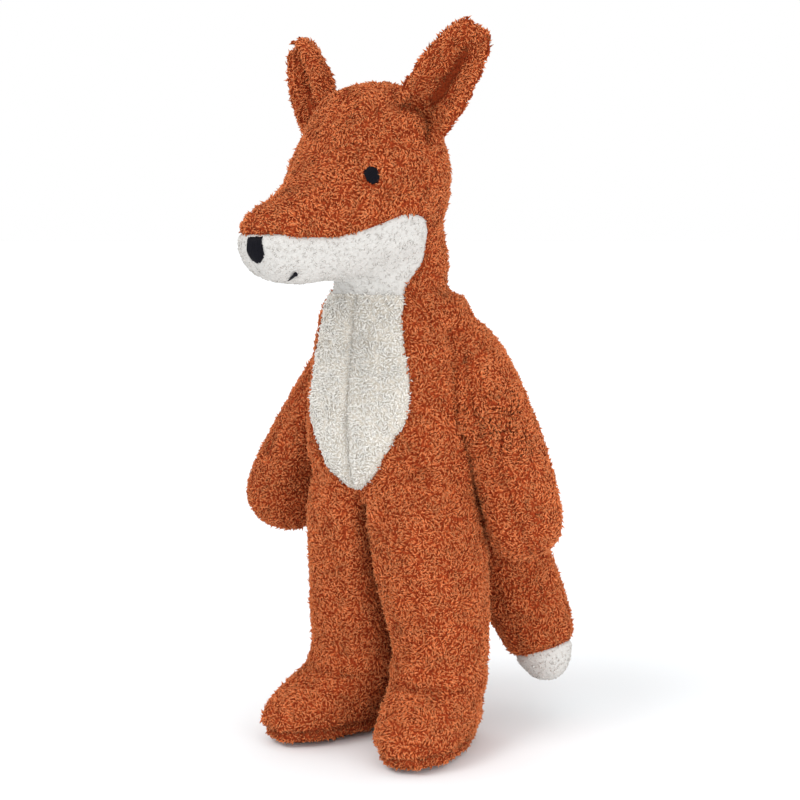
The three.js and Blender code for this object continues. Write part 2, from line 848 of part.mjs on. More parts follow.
// One fabric layer of the ear, between two distances behind its front face.
function earLayer(near, far) {
  const rows = earShares.map((row) => row[0]);
  const faces = [];
  const points = [];
  const step = 1e-3;
  const put = (u, v, distance) => {
    const place = earPoint(u, v);
    const alongU = earPoint(u + step, v).sub(earPoint(u - step, v));
    const alongV = earPoint(u, v + step).sub(earPoint(u, v - step));
    const back = new THREE.Vector3().crossVectors(alongV, alongU).normalize();
    points.push(place.addScaledVector(back, distance));
  };
  const wide = earSteps + 1;
  for (const distance of [near, far]) {
    for (const v of rows) {
      for (let i = 0; i < wide; i += 1) put((2 * i) / earSteps - 1, v, distance);
    }
  }
  const layer = wide * rows.length;
  const at = (row, i, side) => side * layer + row * wide + i;
  const quad = (a, b, c, d) => faces.push(a, b, c, a, c, d);
  for (let row = 0; row < rows.length - 1; row += 1) {
    for (let i = 0; i < earSteps; i += 1) {
      quad(at(row, i, 0), at(row, i + 1, 0), at(row + 1, i + 1, 0), at(row + 1, i, 0));
      quad(at(row, i, 1), at(row + 1, i, 1), at(row + 1, i + 1, 1), at(row, i + 1, 1));
    }
    quad(at(row, 0, 0), at(row + 1, 0, 0), at(row + 1, 0, 1), at(row, 0, 1));
    quad(at(row, earSteps, 0), at(row, earSteps, 1), at(row + 1, earSteps, 1), at(row + 1, earSteps, 0));
  }
  const top = rows.length - 1;
  for (let i = 0; i < earSteps; i += 1) {
    quad(at(0, i, 0), at(0, i, 1), at(0, i + 1, 1), at(0, i + 1, 0));
    quad(at(top, i, 0), at(top, i + 1, 0), at(top, i + 1, 1), at(top, i, 1));
  }
  const geometry = new THREE.BufferGeometry().setFromPoints(points);
  geometry.setIndex(faces);
  return geometry;
}

function addEars(parent) {
  const place = new THREE.Matrix4().makeTranslation(
    earSpacing / 2,
    -earForward,
    headMiddleHeight + earRise,
  );
  place.multiply(new THREE.Matrix4().makeRotationY(rad(earLeanDeg)));
  place.multiply(new THREE.Matrix4().makeRotationX(-rad(earBackDeg)));
  place.multiply(new THREE.Matrix4().makeRotationZ(rad(earTwistDeg)));
  const half = (earThick - seamGap) / 2;
  const head = headForm(-seamGap);
  const lining = largest(placed(earLayer(0, half), place).subtract(head));
  const back = largest(placed(earLayer(half + seamGap, earThick), place).subtract(head));
  for (const [name, side] of [['left', 1], ['right', -1]]) {
    add(parent, `ear_lining_${name}`, sided(lining, side), orange);
    add(parent, `ear_back_${name}`, sided(back, side), orange);
  }
}

addTorso();
for (const [name, side] of [['left', 1], ['right', -1]]) {
  addLeg(name, side);
  addFoot(name, side);
  addArm(name, side, rad(side > 0 ? armSwingLeftDeg : armSwingRightDeg));
}
addTail();

// The head turns about the upright line through the middle of the neck.
const head = new THREE.Group();
const neckPivot = new THREE.Group();
neckPivot.position.set(0, -neckForward, 0);
neckPivot.rotation.z = -rad(headTurnDeg);
head.position.set(0, neckForward, 0);
neckPivot.add(head);
fox.add(neckPivot);
addHead(head);
addEyes(head);
addStitching(head);
addEars(head);

// The origin is the middle of the bottom of the whole toy's box.
fox.updateMatrixWorld(true);
const box = new THREE.Box3().setFromObject(fox, true);
const toy = new THREE.Group();
fox.position.set(-(box.min.x + box.max.x) / 2, -(box.min.y + box.max.y) / 2, -box.min.z);
toy.add(fox);

export default toy;
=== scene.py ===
"""The looks of a standing plush fox: cloth panels with a short curled pile, sewn over stuffing."""

import functools
import json
import math
import random

import bmesh
import bpy
from mathutils import Matrix, Vector, noise
from mathutils.bvhtree import BVHTree
from mathutils.kdtree import KDTree

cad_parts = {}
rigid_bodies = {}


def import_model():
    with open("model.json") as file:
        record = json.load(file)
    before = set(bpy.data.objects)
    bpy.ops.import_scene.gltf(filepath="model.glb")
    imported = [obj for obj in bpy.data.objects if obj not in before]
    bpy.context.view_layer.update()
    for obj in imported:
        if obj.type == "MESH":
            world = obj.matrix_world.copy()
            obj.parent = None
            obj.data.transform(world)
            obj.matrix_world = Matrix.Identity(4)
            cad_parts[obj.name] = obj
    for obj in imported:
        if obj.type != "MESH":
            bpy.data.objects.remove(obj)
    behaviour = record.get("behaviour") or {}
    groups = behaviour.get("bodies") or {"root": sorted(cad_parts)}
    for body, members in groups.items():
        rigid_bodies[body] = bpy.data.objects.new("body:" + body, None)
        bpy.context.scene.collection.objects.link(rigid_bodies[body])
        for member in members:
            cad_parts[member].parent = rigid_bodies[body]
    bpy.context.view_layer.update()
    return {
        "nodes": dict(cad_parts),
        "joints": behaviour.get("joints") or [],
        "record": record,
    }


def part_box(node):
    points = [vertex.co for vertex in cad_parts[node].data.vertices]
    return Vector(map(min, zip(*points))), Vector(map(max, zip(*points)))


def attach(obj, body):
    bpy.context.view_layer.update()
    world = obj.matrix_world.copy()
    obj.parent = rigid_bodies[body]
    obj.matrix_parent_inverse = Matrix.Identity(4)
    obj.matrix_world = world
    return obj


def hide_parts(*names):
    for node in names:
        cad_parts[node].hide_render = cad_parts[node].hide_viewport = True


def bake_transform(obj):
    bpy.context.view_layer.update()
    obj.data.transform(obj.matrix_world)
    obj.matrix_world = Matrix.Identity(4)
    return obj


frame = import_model()

MM = 0.001
UP = Vector((0, 0, 1))
DOWN = -UP
FRONT = Vector((0, -1, 0))
LEFT = Vector((1, 0, 0))
SIDES = (("left", 1), ("right", -1))

BODIES = frame["record"]["behaviour"]["bodies"]
SLOTS = {part["node"]: part["material_slot"] for part in frame["record"]["subparts"]}
CLOTH_SLOTS = ("orange_plush", "white_plush", "cream_plush")
joint_places = {joint["name"]: Vector(joint["pos_m"]) for joint in frame["joints"]}

# The fox's own middle, from its joints
neck = joint_places["head_turn"]
hip_middle = (joint_places["hip_left"] + joint_places["hip_right"]) / 2
middle_x = hip_middle.x
thigh_back = 1.5 * MM
foot_middle = Vector((middle_x, hip_middle.y + thigh_back, 0))
belly_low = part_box("belly_panel_left")[0].z

# Skins
body_voxel = 2.6 * MM
ear_voxel = 1.25 * MM
body_smoothing = 16
ear_smoothing = 14
smooth_in = 0.5
smooth_out = -0.515
body_sink = 1.3 * MM
EAR_SINK = {"left": 0.8 * MM, "right": 0.5 * MM}
cloth_thick = 1.0 * MM
ear_cloth_thick = 0.35 * MM
merge_distance = 0.01 * MM
lump_height = 0.6 * MM
lump_size = 22 * MM
edge_rounds = 12
edge_easing = 0.5

# Sewn lines: how far each draws the cloth in, shortening the pile there, whose locks are then darkened as
# painted shade
seam_width = 2.0 * MM
seam_reach = 6 * MM
deepest_seam = 1.6 * MM
SEAM_DEPTHS = {
    ("leg_outer", "leg_inner"): 0.25 * MM,
    ("arm_outer", "arm_inner"): 0.9 * MM,
    ("tail_panel", "tail_panel"): 0.3 * MM,
    ("head_panel", "head_panel"): 0.6 * MM,
    ("belly_panel", "belly_panel"): 1.3 * MM,
    ("jaw_panel", "jaw_panel"): 0.3 * MM,
    ("side_panel", "side_panel"): 0.7 * MM,
    ("side_panel", "belly_panel"): 0.9 * MM,
    ("head_panel", "jaw_panel"): 0.9 * MM,
    ("foot_upper", "sole"): 1.6 * MM,
    ("tail_panel", "tail_tip"): 1.0 * MM,
    ("ear_lining", "ear_back"): 0.2 * MM,
}
instep_depth = 1.6 * MM
neck_depth = 0.3 * MM

# The line where the thighs bend from the torso, rising outwards
hip_line_rise = math.radians(30)

# The torso's skin over the top of each arm
stub_length = 11 * MM
stub_swell = 1.12

# Where the stuffing swells the cloth: muzzle, crown, arms, the back of the shins, feet
muzzle_start = 36 * MM
muzzle_full = 62 * MM
muzzle_swell = 2.5 * MM
crown_swell = 1.9 * MM
crown_start = 60 * MM
crown_full = 80 * MM
arm_swell = 3.9 * MM
hand_swell = 1.1 * MM
hand_trim = 1.6 * MM
arm_bulge = 1.0 * MM
arm_length = 100 * MM
ARM_LOBE = Vector((0.35, -0.94, 0.0))
arm_lobe_size = 9.0 * MM
arm_lobe_height = 138 * MM
arm_lobe_span = 30 * MM
# The crease beside each arm: cloth drawn in, and pile shortened there so that its locks are painted darker
# as shade
arm_crease_depth = 2.2 * MM
arm_crease_reach = 5 * MM
arm_crease_top = 170 * MM
arm_crease_full = 160 * MM
arm_crease_low = 112 * MM
arm_crease_end = 96 * MM
arm_crease_sideways = 0.25
arm_crease_turned = 0.5
shin_swell = 3.2 * MM
shin_start = 98 * MM
shin_full = 80 * MM
foot_swell = 2.4 * MM
foot_start = 40 * MM
foot_full = 26 * MM

# Panels that reach past their pattern when the cloth is stretched over the stuffing
cheek_stretch = 5 * MM
cheek_start = 34 * MM
cheek_full = 14 * MM
cheek_low_start = 2 * MM
cheek_low_full = 16 * MM
belly_drift = 2.0 * MM
belly_point_height = 13 * MM
belly_point_rise = 2.0 * MM
belly_point_half_width = 16.3 * MM
belly_point_rounding = 0.65
side_reach = 20 * MM

# Ears: the right one has a broad blunt tip, and each is folded along a line, given as shares of the
# front layer's box with its depth in mm
EAR_SPREAD = Vector((0.82, 0.57, 0.0))
ear_spread_width = 6.0 * MM
ear_spread_start = 258 * MM
ear_spread_full = 285 * MM
ear_blunt_start = 290 * MM
ear_blunting = 0.85
ear_slice = 3 * MM
EAR_FOLD = (
    (0.74, 0.81, 0.78, 1.2),
    (0.61, 0.79, 0.62, 3.3),
    (0.39, 0.77, 0.41, 3.3),
    (0.20, 0.74, 0.27, 2.2),
)
ear_fold_width = 2.2 * MM
ear_ridge_width = 4.0 * MM
ear_ridge_share = 0.8
fold_steps = 12
ear_tip_smoothing = 6
ear_root_depth = 1.1 * MM
ear_root_reach = 4 * MM
ear_plunge = 7 * MM
ear_plunge_reach = 9 * MM
ear_plunge_drop_share = 0.3

# Pile: rings of a lock as (share of its length, share of its width), from the cloth to the tip
LOCK_RINGS = ((0.5, 1.1), (1.0, 0.0))
lock_variants = 9
lock_sides = 3
lock_root = 0.5 * MM
lock_map_width = 0.02

# Each kind of lock as (length, width, bend), and the shares that the locks of a set differ by
PLUSH_LOCK = (2.3 * MM, 0.72 * MM, 1.5)
FINE_LOCK = (1.7 * MM, 0.72 * MM, 2.1)
BENDS = (0.7, 1.3)
TWISTS = (-1, 1)
LENGTHS = (0.8, 1.2)
WIDTHS = (0.85, 1.15)

# How the locks stand: spacing, lean and the way that they are combed, which drifts over the cloth
orange_spacing = 0.675 * MM
white_spacing = 0.57 * MM
cream_spacing = 0.65 * MM
planting_tries = 4.0
pile_lean = 0.4
flow_scale = 75.0
flow_turns = 3.0
plush_spread = 1.2
fine_spread = 1.5
SIZES = (0.75, 1.25)

# How a lock's tone comes about: patches over the cloth, its own draw, and shade where the pile is short
patch_scale = 110.0
patch_weight = 1.1
patch_shift = -1.25
own_weight = 0.7
tone_map_width = 0.97
tone_middle = 0.5
middle_along = 0.5
shade_reach = 0.25
# Where the pile is shortened its locks are darker: painted shade in seams, creases and folds, under the
# soles and round the stitched patches
seam_shortening = 0.45
most_shortening = 1.5
sole_pile_share = 0.35
fold_shade = 0.9
sole_zone = 2.5 * MM
sole_facing = -0.85

# Sockets of Blender's Mix node for colours: its share and its two colours, and its result
MIX_INPUTS = (0, 6, 7)
MIX_RESULT = 2

# Cloth and thread surfaces
plain_specular = 0.2
pile_roughness = 0.9
cloth_roughness = 0.95
thread_roughness = 0.5
fibre_specular = 0.1
thread_specular = 0.12
sheen_roughness = 0.5
grain_scale = 900.0
grain_detail = 3.0
grain_dark = 0.35
grain_light = 0.65
grain_strength = 0.7
grain_depth = 0.5 * MM
ply_scale = 1800.0
ply_detail = 2.0
ply_strength = 0.5
ply_depth = 0.1 * MM

# Stitching
thread_pitch = 0.5 * MM
thread_radius = 0.3 * MM
thread_tuck = 1.1 * MM
thread_points = 8
thread_unevenness = 0.25 * MM
thread_lift = 0.15 * MM
pad_height = 0.6 * MM
pad_fullness = 0.5
least_row_share = 0.05
stitch_reach = 12 * MM
patch_reach = 8 * MM
eye_half_length = 3.5 * MM
eye_half_width = 2.9 * MM
eye_shift = 1.4 * MM
eye_back_share = 0.7
eye_down_share = 0.7
eye_front_share = 0.7
EYE_THREADS_WAY = Vector((0.0, 0.5, -1.0))
nose_shift = 1.5 * MM
nose_half_width = 3.75 * MM
nose_rise = 4.6 * MM
nose_drop = 4.8 * MM
bare_share = 0.3
bare_margin = 0.7 * MM
nose_corner = 0.35
mouth_spread = math.radians(43)
mouth_slant = 4.5 * MM
mouth_axis_rise = 14 * MM
mouth_radius = 0.6 * MM
mouth_lift = 1.4 * MM
mouth_sunk_share = 0.4
mouth_steps = 10
knot_share = 1.5

# The first random seed of each part's pile and threads
SEEDS = {"torso": 10, "leg": 20, "arm": 40, "tail": 60, "head": 70, "ear": 80, "nose": 3, "eye": 4}
seed_step = 10

# Camera, fitted to the photograph's view of the fox
camera_turn = math.radians(35.09)
camera_pitch = math.radians(6.11)
camera_distance = 663.11 * MM
camera_height = 215.68 * MM
picture_width = 800
focal_pixels = 1580.33
centre_pixel_x = 396.21
sensor_width = 36

# Studio
floor_radius = 30
floor_sides = 96
floor_roughness = 0.9
FLOOR_TONE = (0.9, 0.925, 0.94, 1)
WHITE = (1, 1, 1, 1)
sky_strength = 1.0
KEY_WAY = Vector((-0.25, -0.75, 0.9))
key_strength = 0.95
key_spread = math.radians(28)
FILL_WAY = Vector((0.9, -0.6, 0.15))
fill_strength = 0.55
fill_spread = math.radians(60)
LOW_LIGHT_PLACE = Vector((0.4, -0.12, 0.05))
LOW_LIGHT_TARGET = Vector((0.04, 0.05, 0.05))
low_light_size = 0.2
low_light_strength = 0.55

scene = bpy.context.scene


def panels_of(body):
    """The names of a body's cloth panels."""
    return [node for node in BODIES[body] if SLOTS[node] in CLOTH_SLOTS]


def kind_of(panel):
    """A panel's name without its side."""
    return panel.removesuffix("_left").removesuffix("_right")


def new_object(name, bm):
    mesh = bpy.data.meshes.new(name)
    bm.to_mesh(mesh)
    bm.free()
    piece = bpy.data.objects.new(name, mesh)
    scene.collection.objects.link(piece)
    return piece


def applied(piece):
    """Turns the piece into a mesh with its modifiers applied."""
    view = bpy.context.evaluated_depsgraph_get()
    mesh = bpy.data.meshes.new_from_object(
        piece.evaluated_get(view), preserve_all_data_layers=True, depsgraph=view
    )
    piece.modifiers.clear()
    old = piece.data
    piece.data = mesh
    bpy.data.meshes.remove(old)
    mesh.name = piece.name
    return piece


def merged_copy(nodes):
    """The meshes of some CAD nodes together, with their loose triangles joined."""
    bm = bmesh.new()
    for node in nodes:
        bm.from_mesh(frame["nodes"][node].data)
    bmesh.ops.remove_doubles(bm, verts=bm.verts, dist=merge_distance)
    return bm


def middle_of(node):
    low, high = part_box(node)
    return (low + high) / 2


def everything(bm):
    return bm.verts[:] + bm.edges[:] + bm.faces[:]


def largest_island(bm):
    """Deletes all but the largest connected part of a bmesh."""
    seen = set()
    islands = []
    for start in bm.verts:
        if start in seen:
            continue
        island = [start]
        seen.add(start)
        for vert in island:
            for edge in vert.link_edges:
                other = edge.other_vert(vert)
                if other not in seen:
                    seen.add(other)
                    island.append(other)
        islands.append(island)
    islands.sort(key=len)
    small = [vert for island in islands[:-1] for vert in island]
    bmesh.ops.delete(bm, geom=small, context="VERTS")


def smoothed(bm, rounds):
    """Smooths a surface without shrinking it."""
    for _ in range(rounds):
        for factor in (smooth_in, smooth_out):
            bmesh.ops.smooth_vert(
                bm, verts=bm.verts, factor=factor, use_axis_x=True, use_axis_y=True, use_axis_z=True
            )


def stuffed_form(name, solids, voxel, smoothing):
    """A closed, rounded form round some solids: remeshed together, smoothed and made finer."""
    form = new_object(name, solids)
    remesh = form.modifiers.new("remesh", "REMESH")
    remesh.mode = "VOXEL"
    remesh.voxel_size = voxel
    applied(form)
    bm = bmesh.new()
    bm.from_mesh(form.data)
    largest_island(bm)
    smoothed(bm, smoothing)
    bm.to_mesh(form.data)
    bm.free()
    finer = form.modifiers.new("finer", "SUBSURF")
    finer.levels = 1
    finer.render_levels = 1
    return applied(form)


def arm_stub(name):
    """The rounded top of an arm, which the torso's skin runs over."""
    stub = merged_copy(BODIES["arm_" + name])
    shoulder = joint_places["shoulder_" + name]
    middle = sum((vert.co for vert in stub.verts), Vector()) / len(stub.verts)
    down = (middle - shoulder).normalized()
    end = shoulder + down * stub_length
    bmesh.ops.bisect_plane(stub, geom=everything(stub), plane_co=end, plane_no=-down, clear_inner=True)
    rims = [edge for edge in stub.edges if edge.is_boundary]
    bmesh.ops.holes_fill(stub, edges=rims, sides=0)
    swell = (stub_swell, stub_swell, stub_swell)
    bmesh.ops.scale(stub, vec=swell, space=Matrix.Translation(-shoulder), verts=stub.verts)
    return stub


def joined(solids):
    """Several bmeshes as one."""
    whole = bmesh.new()
    for bm in solids:
        mesh = bpy.data.meshes.new("part")
        bm.to_mesh(mesh)
        bm.free()
        whole.from_mesh(mesh)
        bpy.data.meshes.remove(mesh)
    return whole


def nearest_panels(bm, panels, stretched):
    """Marks each face with the number of the panel that it lies nearest to, once stretched."""
    trees = []
    for panel in panels:
        copy = merged_copy([panel])
        trees.append(BVHTree.FromBMesh(copy))
        copy.free()
    for face in bm.faces:
        centre = stretched(face.calc_center_median())
        gaps = [tree.find_nearest(centre)[3] for tree in trees]
        face.material_index = gaps.index(min(gaps))


def panel_lines(bm):
    """The edges where two panels meet."""
    lines = []
    for edge in bm.edges:
        if len(edge.link_faces) == 2:
            one, other = edge.link_faces
            if one.material_index != other.material_index:
                lines.append(edge)
    return lines


def even_lines(bm):
    """Evens out the stepped lines between panels."""
    ends = {}
    for edge in panel_lines(bm):
        for vert in edge.verts:
            ends.setdefault(vert, []).append(edge.other_vert(vert))
    inner = [(vert, pair) for vert, pair in ends.items() if len(pair) == 2 and not vert.is_boundary]
    for _ in range(edge_rounds):
        places = [vert.co.lerp((a.co + b.co) / 2, edge_easing) for vert, (a, b) in inner]
        for (vert, _), place in zip(inner, places):
            vert.co = place


def seam_depth(one, other, normal):
    """How far the seam between two panels draws the cloth in, where the surface faces a given way."""
    kinds = (kind_of(one), kind_of(other))
    if "foot_upper" in kinds and "sole" not in kinds:
        return instep_depth * max(0, normal.dot(FRONT)) ** 2
    return SEAM_DEPTHS.get(kinds, SEAM_DEPTHS.get(kinds[::-1], deepest_seam))


def sewn_places(bm, panels):
    """Points along the sewn lines, each with its depth and width."""
    places = []
    for edge in panel_lines(bm):
        one, other = edge.link_faces
        normal = (one.normal + other.normal).normalized()
        depth = seam_depth(panels[one.material_index], panels[other.material_index], normal)
        places.append(((edge.verts[0].co + edge.verts[1].co) / 2, depth, seam_width))
    for edge in bm.edges:
        middle = (edge.verts[0].co + edge.verts[1].co) / 2
        if edge.is_boundary and abs(middle.z - neck.z) < merge_distance:
            forward = edge.link_faces[0].normal.dot(FRONT)
            places.append((middle, neck_depth * (1 + forward) / 2, seam_width))
    return places


def sew(bm, panels, creases, bare):
    """Draws the surface in along seams and creases, and keeps how long the pile is at each point; short
    pile is painted darker as shade.
    """
    places = sewn_places(bm, panels) + creases
    pile = bm.verts.layers.float.new("pile")
    tree = KDTree(max(len(places), 1))
    for i, (place, _, _) in enumerate(places):
        tree.insert(place, i)
    tree.balance()
    moves = []
    for vert in bm.verts:
        depth = 0
        _, i, gap = tree.find(vert.co)
        if i is not None and gap < seam_reach:
            _, full, width = places[i]
            depth = full * math.exp(-((gap / width) ** 2))
        vert[pile] = 1 - seam_shortening * min(depth / deepest_seam, most_shortening)
        # Short pile under the soles, painted darker as the shade under the feet
        if vert.co.z < sole_zone and vert.normal.z < sole_facing:
            vert[pile] = sole_pile_share
        # Short pile under and round the stitched eyes and nose, painted darker as shade at the patches'
        # edges
        for centre, radius in bare:
            if (vert.co - centre).length < radius:
                vert[pile] = bare_share
        moves.append(vert.normal * -depth)
    for vert, move in zip(bm.verts, moves):
        vert.co += move


def eased(value, start, full):
    """0 at the start, rising smoothly to 1 at full."""
    share = min(max((value - start) / (full - start), 0), 1)
    return share * share * (3 - 2 * share)


def body_fill(place, normal):
    """How far the stuffing swells the torso, head and legs at a point."""
    if place.z > neck.z:
        muzzle = muzzle_swell * eased(neck.y - place.y, muzzle_start, muzzle_full)
        crown = crown_swell * eased(place.z - neck.z, crown_start, crown_full)
        return max(muzzle, crown)
    shin = shin_swell * eased(place.z, shin_start, shin_full) * max(0, normal.y)
    foot = foot_swell * eased(place.z, foot_start, foot_full) * (1 - max(0, -normal.z))
    return max(shin, foot)


def arm_fill(name):
    """How far the stuffing swells an arm: most at the shoulder, not at the end of the hand."""
    shoulder = joint_places["shoulder_" + name]

    def fill(place, normal):
        away = place - shoulder
        share = min(away.length / arm_length, 1)
        end = max(0, normal.dot(away.normalized())) * share
        swell = arm_swell * (1 - share) + hand_swell * share + arm_bulge * math.sin(math.pi * share)
        return swell * (1 - end) - hand_trim * end**2

    return fill


def arm_creases(bm):
    """The crease in the torso's cloth along each arm's front and back edge, below the shoulder, with its
    pile shortened and so painted darker as the crease's shade.
    """
    places = []
    for name, _ in SIDES:
        arm = bmesh.new()
        arm.from_mesh(arm_forms["arm_" + name].data)
        tree = BVHTree.FromBMesh(arm)
        arm.free()
        swollen = arm_swell - body_sink
        for vert in bm.verts:
            height = eased(vert.co.z, arm_crease_top, arm_crease_full)
            height *= eased(vert.co.z, arm_crease_end, arm_crease_low)
            edge = height * eased(abs(vert.normal.y), arm_crease_sideways, arm_crease_turned)
            if edge == 0:
                continue
            near = tree.find_nearest(vert.co, arm_crease_reach + swollen)
            if near[0] is not None and near[3] > swollen:
                beyond = (near[3] - swollen) / arm_crease_reach
                depth = arm_crease_depth * math.sin(math.pi * beyond) * edge
                places.append((vert.co.copy(), depth, seam_width))
    return places


def lobed_arm(form):
    """The left arm's upper part spreads forward over the side of the torso."""
    mesh = form.data
    for vert in mesh.vertices:
        near = 1 - eased(abs(vert.co.z - arm_lobe_height), 0, arm_lobe_span)
        vert.co += ARM_LOBE * arm_lobe_size * near * max(0, vert.normal.dot(ARM_LOBE))


def no_fill(place, normal):
    return 0


def sink_and_lump(bm, sink, fill):
    """Makes room for the pile, gives the stuffing its uneven fill, and swells it where it is full."""
    bm.normal_update()
    moves = []
    for vert in bm.verts:
        lump = noise.noise(vert.co / lump_size) * lump_height
        moves.append(vert.normal * (lump + fill(vert.co, vert.normal) - sink))
    for vert, move in zip(bm.verts, moves):
        vert.co += move


def unstretched(place):
    return place


def stretched_belly(place):
    """The belly's panels lie a little to the fox's right, and end in a rounded point over the crotch."""
    place = place + LEFT * belly_drift
    up = place.z - belly_low - belly_point_rise
    if up > belly_point_height or place.y > hip_middle.y:
        return place
    half_width = belly_point_half_width * (max(up, 0) / belly_point_height) ** belly_point_rounding
    across = place.x - middle_x
    if abs(across) < half_width:
        return Vector((middle_x + across / 2, place.y, place.z + belly_point_height / 2))
    return place + LEFT * math.copysign(side_reach, across) + UP * belly_point_height


def stretched_cheeks(place):
    """The cheeks reach further back than their pattern."""
    back = eased(neck.y - place.y, cheek_start, cheek_full)
    return place + FRONT * cheek_stretch * back * eased(place.z - neck.z, cheek_low_start, cheek_low_full)


def folded_front(name, side, bm):
    """Folds an ear's back out along a line, and gives the places of its front's crease along that line,
    where the pile is shortened and its locks painted darker as the fold's shade.
    """
    tree = BVHTree.FromBMesh(bm)
    low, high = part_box("ear_lining_" + name)
    size = high - low
    knots = []
    for x, y, z, depth in EAR_FOLD:
        across = x if side > 0 else 1 - x
        knots.append((low + Vector((across * size.x, y * size.y, z * size.z)), depth * MM))
    places = []
    facings = []
    for (a, depth_a), (b, depth_b) in zip(knots, knots[1:]):
        for i in range(fold_steps):
            share = i / fold_steps
            place, facing, _, _ = tree.find_nearest(a.lerp(b, share))
            places.append((place, depth_a + (depth_b - depth_a) * share, ear_fold_width))
            facings.append(facing)
    line = KDTree(len(places))
    for i, (place, _, _) in enumerate(places):
        line.insert(place, i)
    line.balance()
    for vert in bm.verts:
        _, i, _ = line.find(vert.co)
        place, depth, _ = places[i]
        if vert.normal.dot(facings[i]) < 0:
            away = vert.co - place
            aside = away - facings[i] * away.dot(facings[i])
            near = math.exp(-((aside.length / ear_ridge_width) ** 2))
            vert.co -= facings[i] * depth * ear_ridge_share * near
    return places


def shaped_ear(form, side):
    """Sets an ear's foot into the head, and spreads the tip of the right ear."""
    head = merged_copy(face_panels)
    tree = BVHTree.FromBMesh(head)
    head.free()
    for vert in form.data.vertices:
        gap = tree.find_nearest(vert.co)[3]
        inwards = (Vector((neck.x, neck.y, vert.co.z)) - vert.co).normalized()
        plunge = ear_plunge * (1 - eased(gap, 0, ear_plunge_reach))
        vert.co += (inwards + DOWN * ear_plunge_drop_share) * plunge
    if side > 0:
        return
    slices = {}
    for vert in form.data.vertices:
        key = round(vert.co.z / ear_slice)
        across = vert.co.dot(EAR_SPREAD)
        lowest, highest = slices.get(key, (across, across))
        slices[key] = (min(lowest, across), max(highest, across))
    for vert in form.data.vertices:
        upper = eased(vert.co.z, ear_spread_start, ear_spread_full)
        lowest, highest = slices[round(vert.co.z / ear_slice)]
        share = (vert.co.dot(EAR_SPREAD) - lowest) / max(highest - lowest, merge_distance)
        vert.co += EAR_SPREAD * ear_spread_width * share * upper
        vert.co.z = min(vert.co.z, ear_blunt_start + (vert.co.z - ear_blunt_start) * ear_blunting)
    bm = bmesh.new()
    bm.from_mesh(form.data)
    smoothed(bm, ear_tip_smoothing)
    bm.to_mesh(form.data)
    bm.free()


def ear_root(bm):
    """The crease in the head's cloth round the foot of each ear, with its pile shortened and so painted
    darker as the crease's shade.
    """
    ears = merged_copy([node for node in BODIES["head"] if node.startswith("ear")])
    tree = BVHTree.FromBMesh(ears)
    ears.free()
    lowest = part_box("ear_back_left")[0].z - ear_root_reach
    places = []
    for vert in bm.verts:
        if vert.co.z < lowest:
            continue
        near = tree.find_nearest(vert.co, ear_root_reach)
        if near[0] is not None:
            places.append((vert.co.copy(), ear_root_depth * (1 - near[3] / ear_root_reach), seam_width))
    return places


def panel_sheets(form, panels, sink, cuts=(), fill=no_fill, stretched=unstretched, creased=None, bare=()):
    """Splits a form into one sheet of cloth for each panel."""
    bm = bmesh.new()
    bm.from_mesh(form.data)
    sink_and_lump(bm, sink, fill)
    for place, keep in cuts:
        bmesh.ops.bisect_plane(bm, geom=everything(bm), plane_co=place, plane_no=keep, clear_inner=True)
    nearest_panels(bm, panels, stretched)
    even_lines(bm)
    bm.normal_update()
    sew(bm, panels, creased(bm) if creased else [], bare)
    sheets = {}
    for i, panel in enumerate(panels):
        part = bm.copy()
        others = [face for face in part.faces if face.material_index != i]
        bmesh.ops.delete(part, geom=others, context="FACES")
        for face in part.faces:
            face.material_index = 0
            face.smooth = True
        sheets[panel] = new_object(panel + "_cloth", part)
    bm.free()
    return sheets


def lock_of_pile(name, bend, twist, length, width):
    """One lock: a bent, tapering three-sided strand, closed at both ends, with its root at the origin."""
    bm = bmesh.new()
    made = bmesh.ops.create_circle(bm, cap_ends=True, segments=lock_sides, radius=width / 2)
    bmesh.ops.translate(bm, verts=made["verts"], vec=DOWN * lock_root)
    along = bm.verts.layers.float.new("along")
    rim = bm.edges[:]
    middle = DOWN * lock_root
    way = UP
    share = 0
    for reached, thickness in LOCK_RINGS:
        made = bmesh.ops.extrude_edge_only(bm, edges=rim)["geom"]
        verts = [item for item in made if isinstance(item, bmesh.types.BMVert)]
        rim = [item for item in made if isinstance(item, bmesh.types.BMEdge)]
        part = reached - share
        share = reached
        turn = Matrix.Rotation(bend * part, 3, "Y") @ Matrix.Rotation(twist * part, 3, "X")
        bmesh.ops.rotate(bm, cent=middle, matrix=turn, verts=verts)
        way = turn @ way
        bmesh.ops.translate(bm, verts=verts, vec=way * length * part)
        middle = middle + way * length * part
        for vert in verts:
            vert[along] = share
        if thickness:
            size = (thickness, thickness, thickness)
            bmesh.ops.scale(bm, vec=size, space=Matrix.Translation(-middle), verts=verts)
        else:
            bmesh.ops.pointmerge(bm, verts=verts, merge_co=middle)
    uv = bm.loops.layers.uv.new("OFBake")
    for face in bm.faces:
        face.smooth = True
        for i, loop in enumerate(face.loops):
            loop[uv].uv = (lock_map_width * (i % 2), loop.vert[along])
    bmesh.ops.recalc_face_normals(bm, faces=bm.faces)
    return new_object(name, bm)


def lock_set(name, length, width, bend, seed):
    """A collection of locks that differ a little, for the pile to be picked from."""
    rng = random.Random(seed)
    collection = bpy.data.collections.new(name)
    for i in range(lock_variants):
        lock = lock_of_pile(
            f"{name}_{i}",
            bend * rng.uniform(*BENDS),
            rng.uniform(*TWISTS),
            length * rng.uniform(*LENGTHS),
            width * rng.uniform(*WIDTHS),
        )
        scene.collection.objects.unlink(lock)
        collection.objects.link(lock)
    return collection


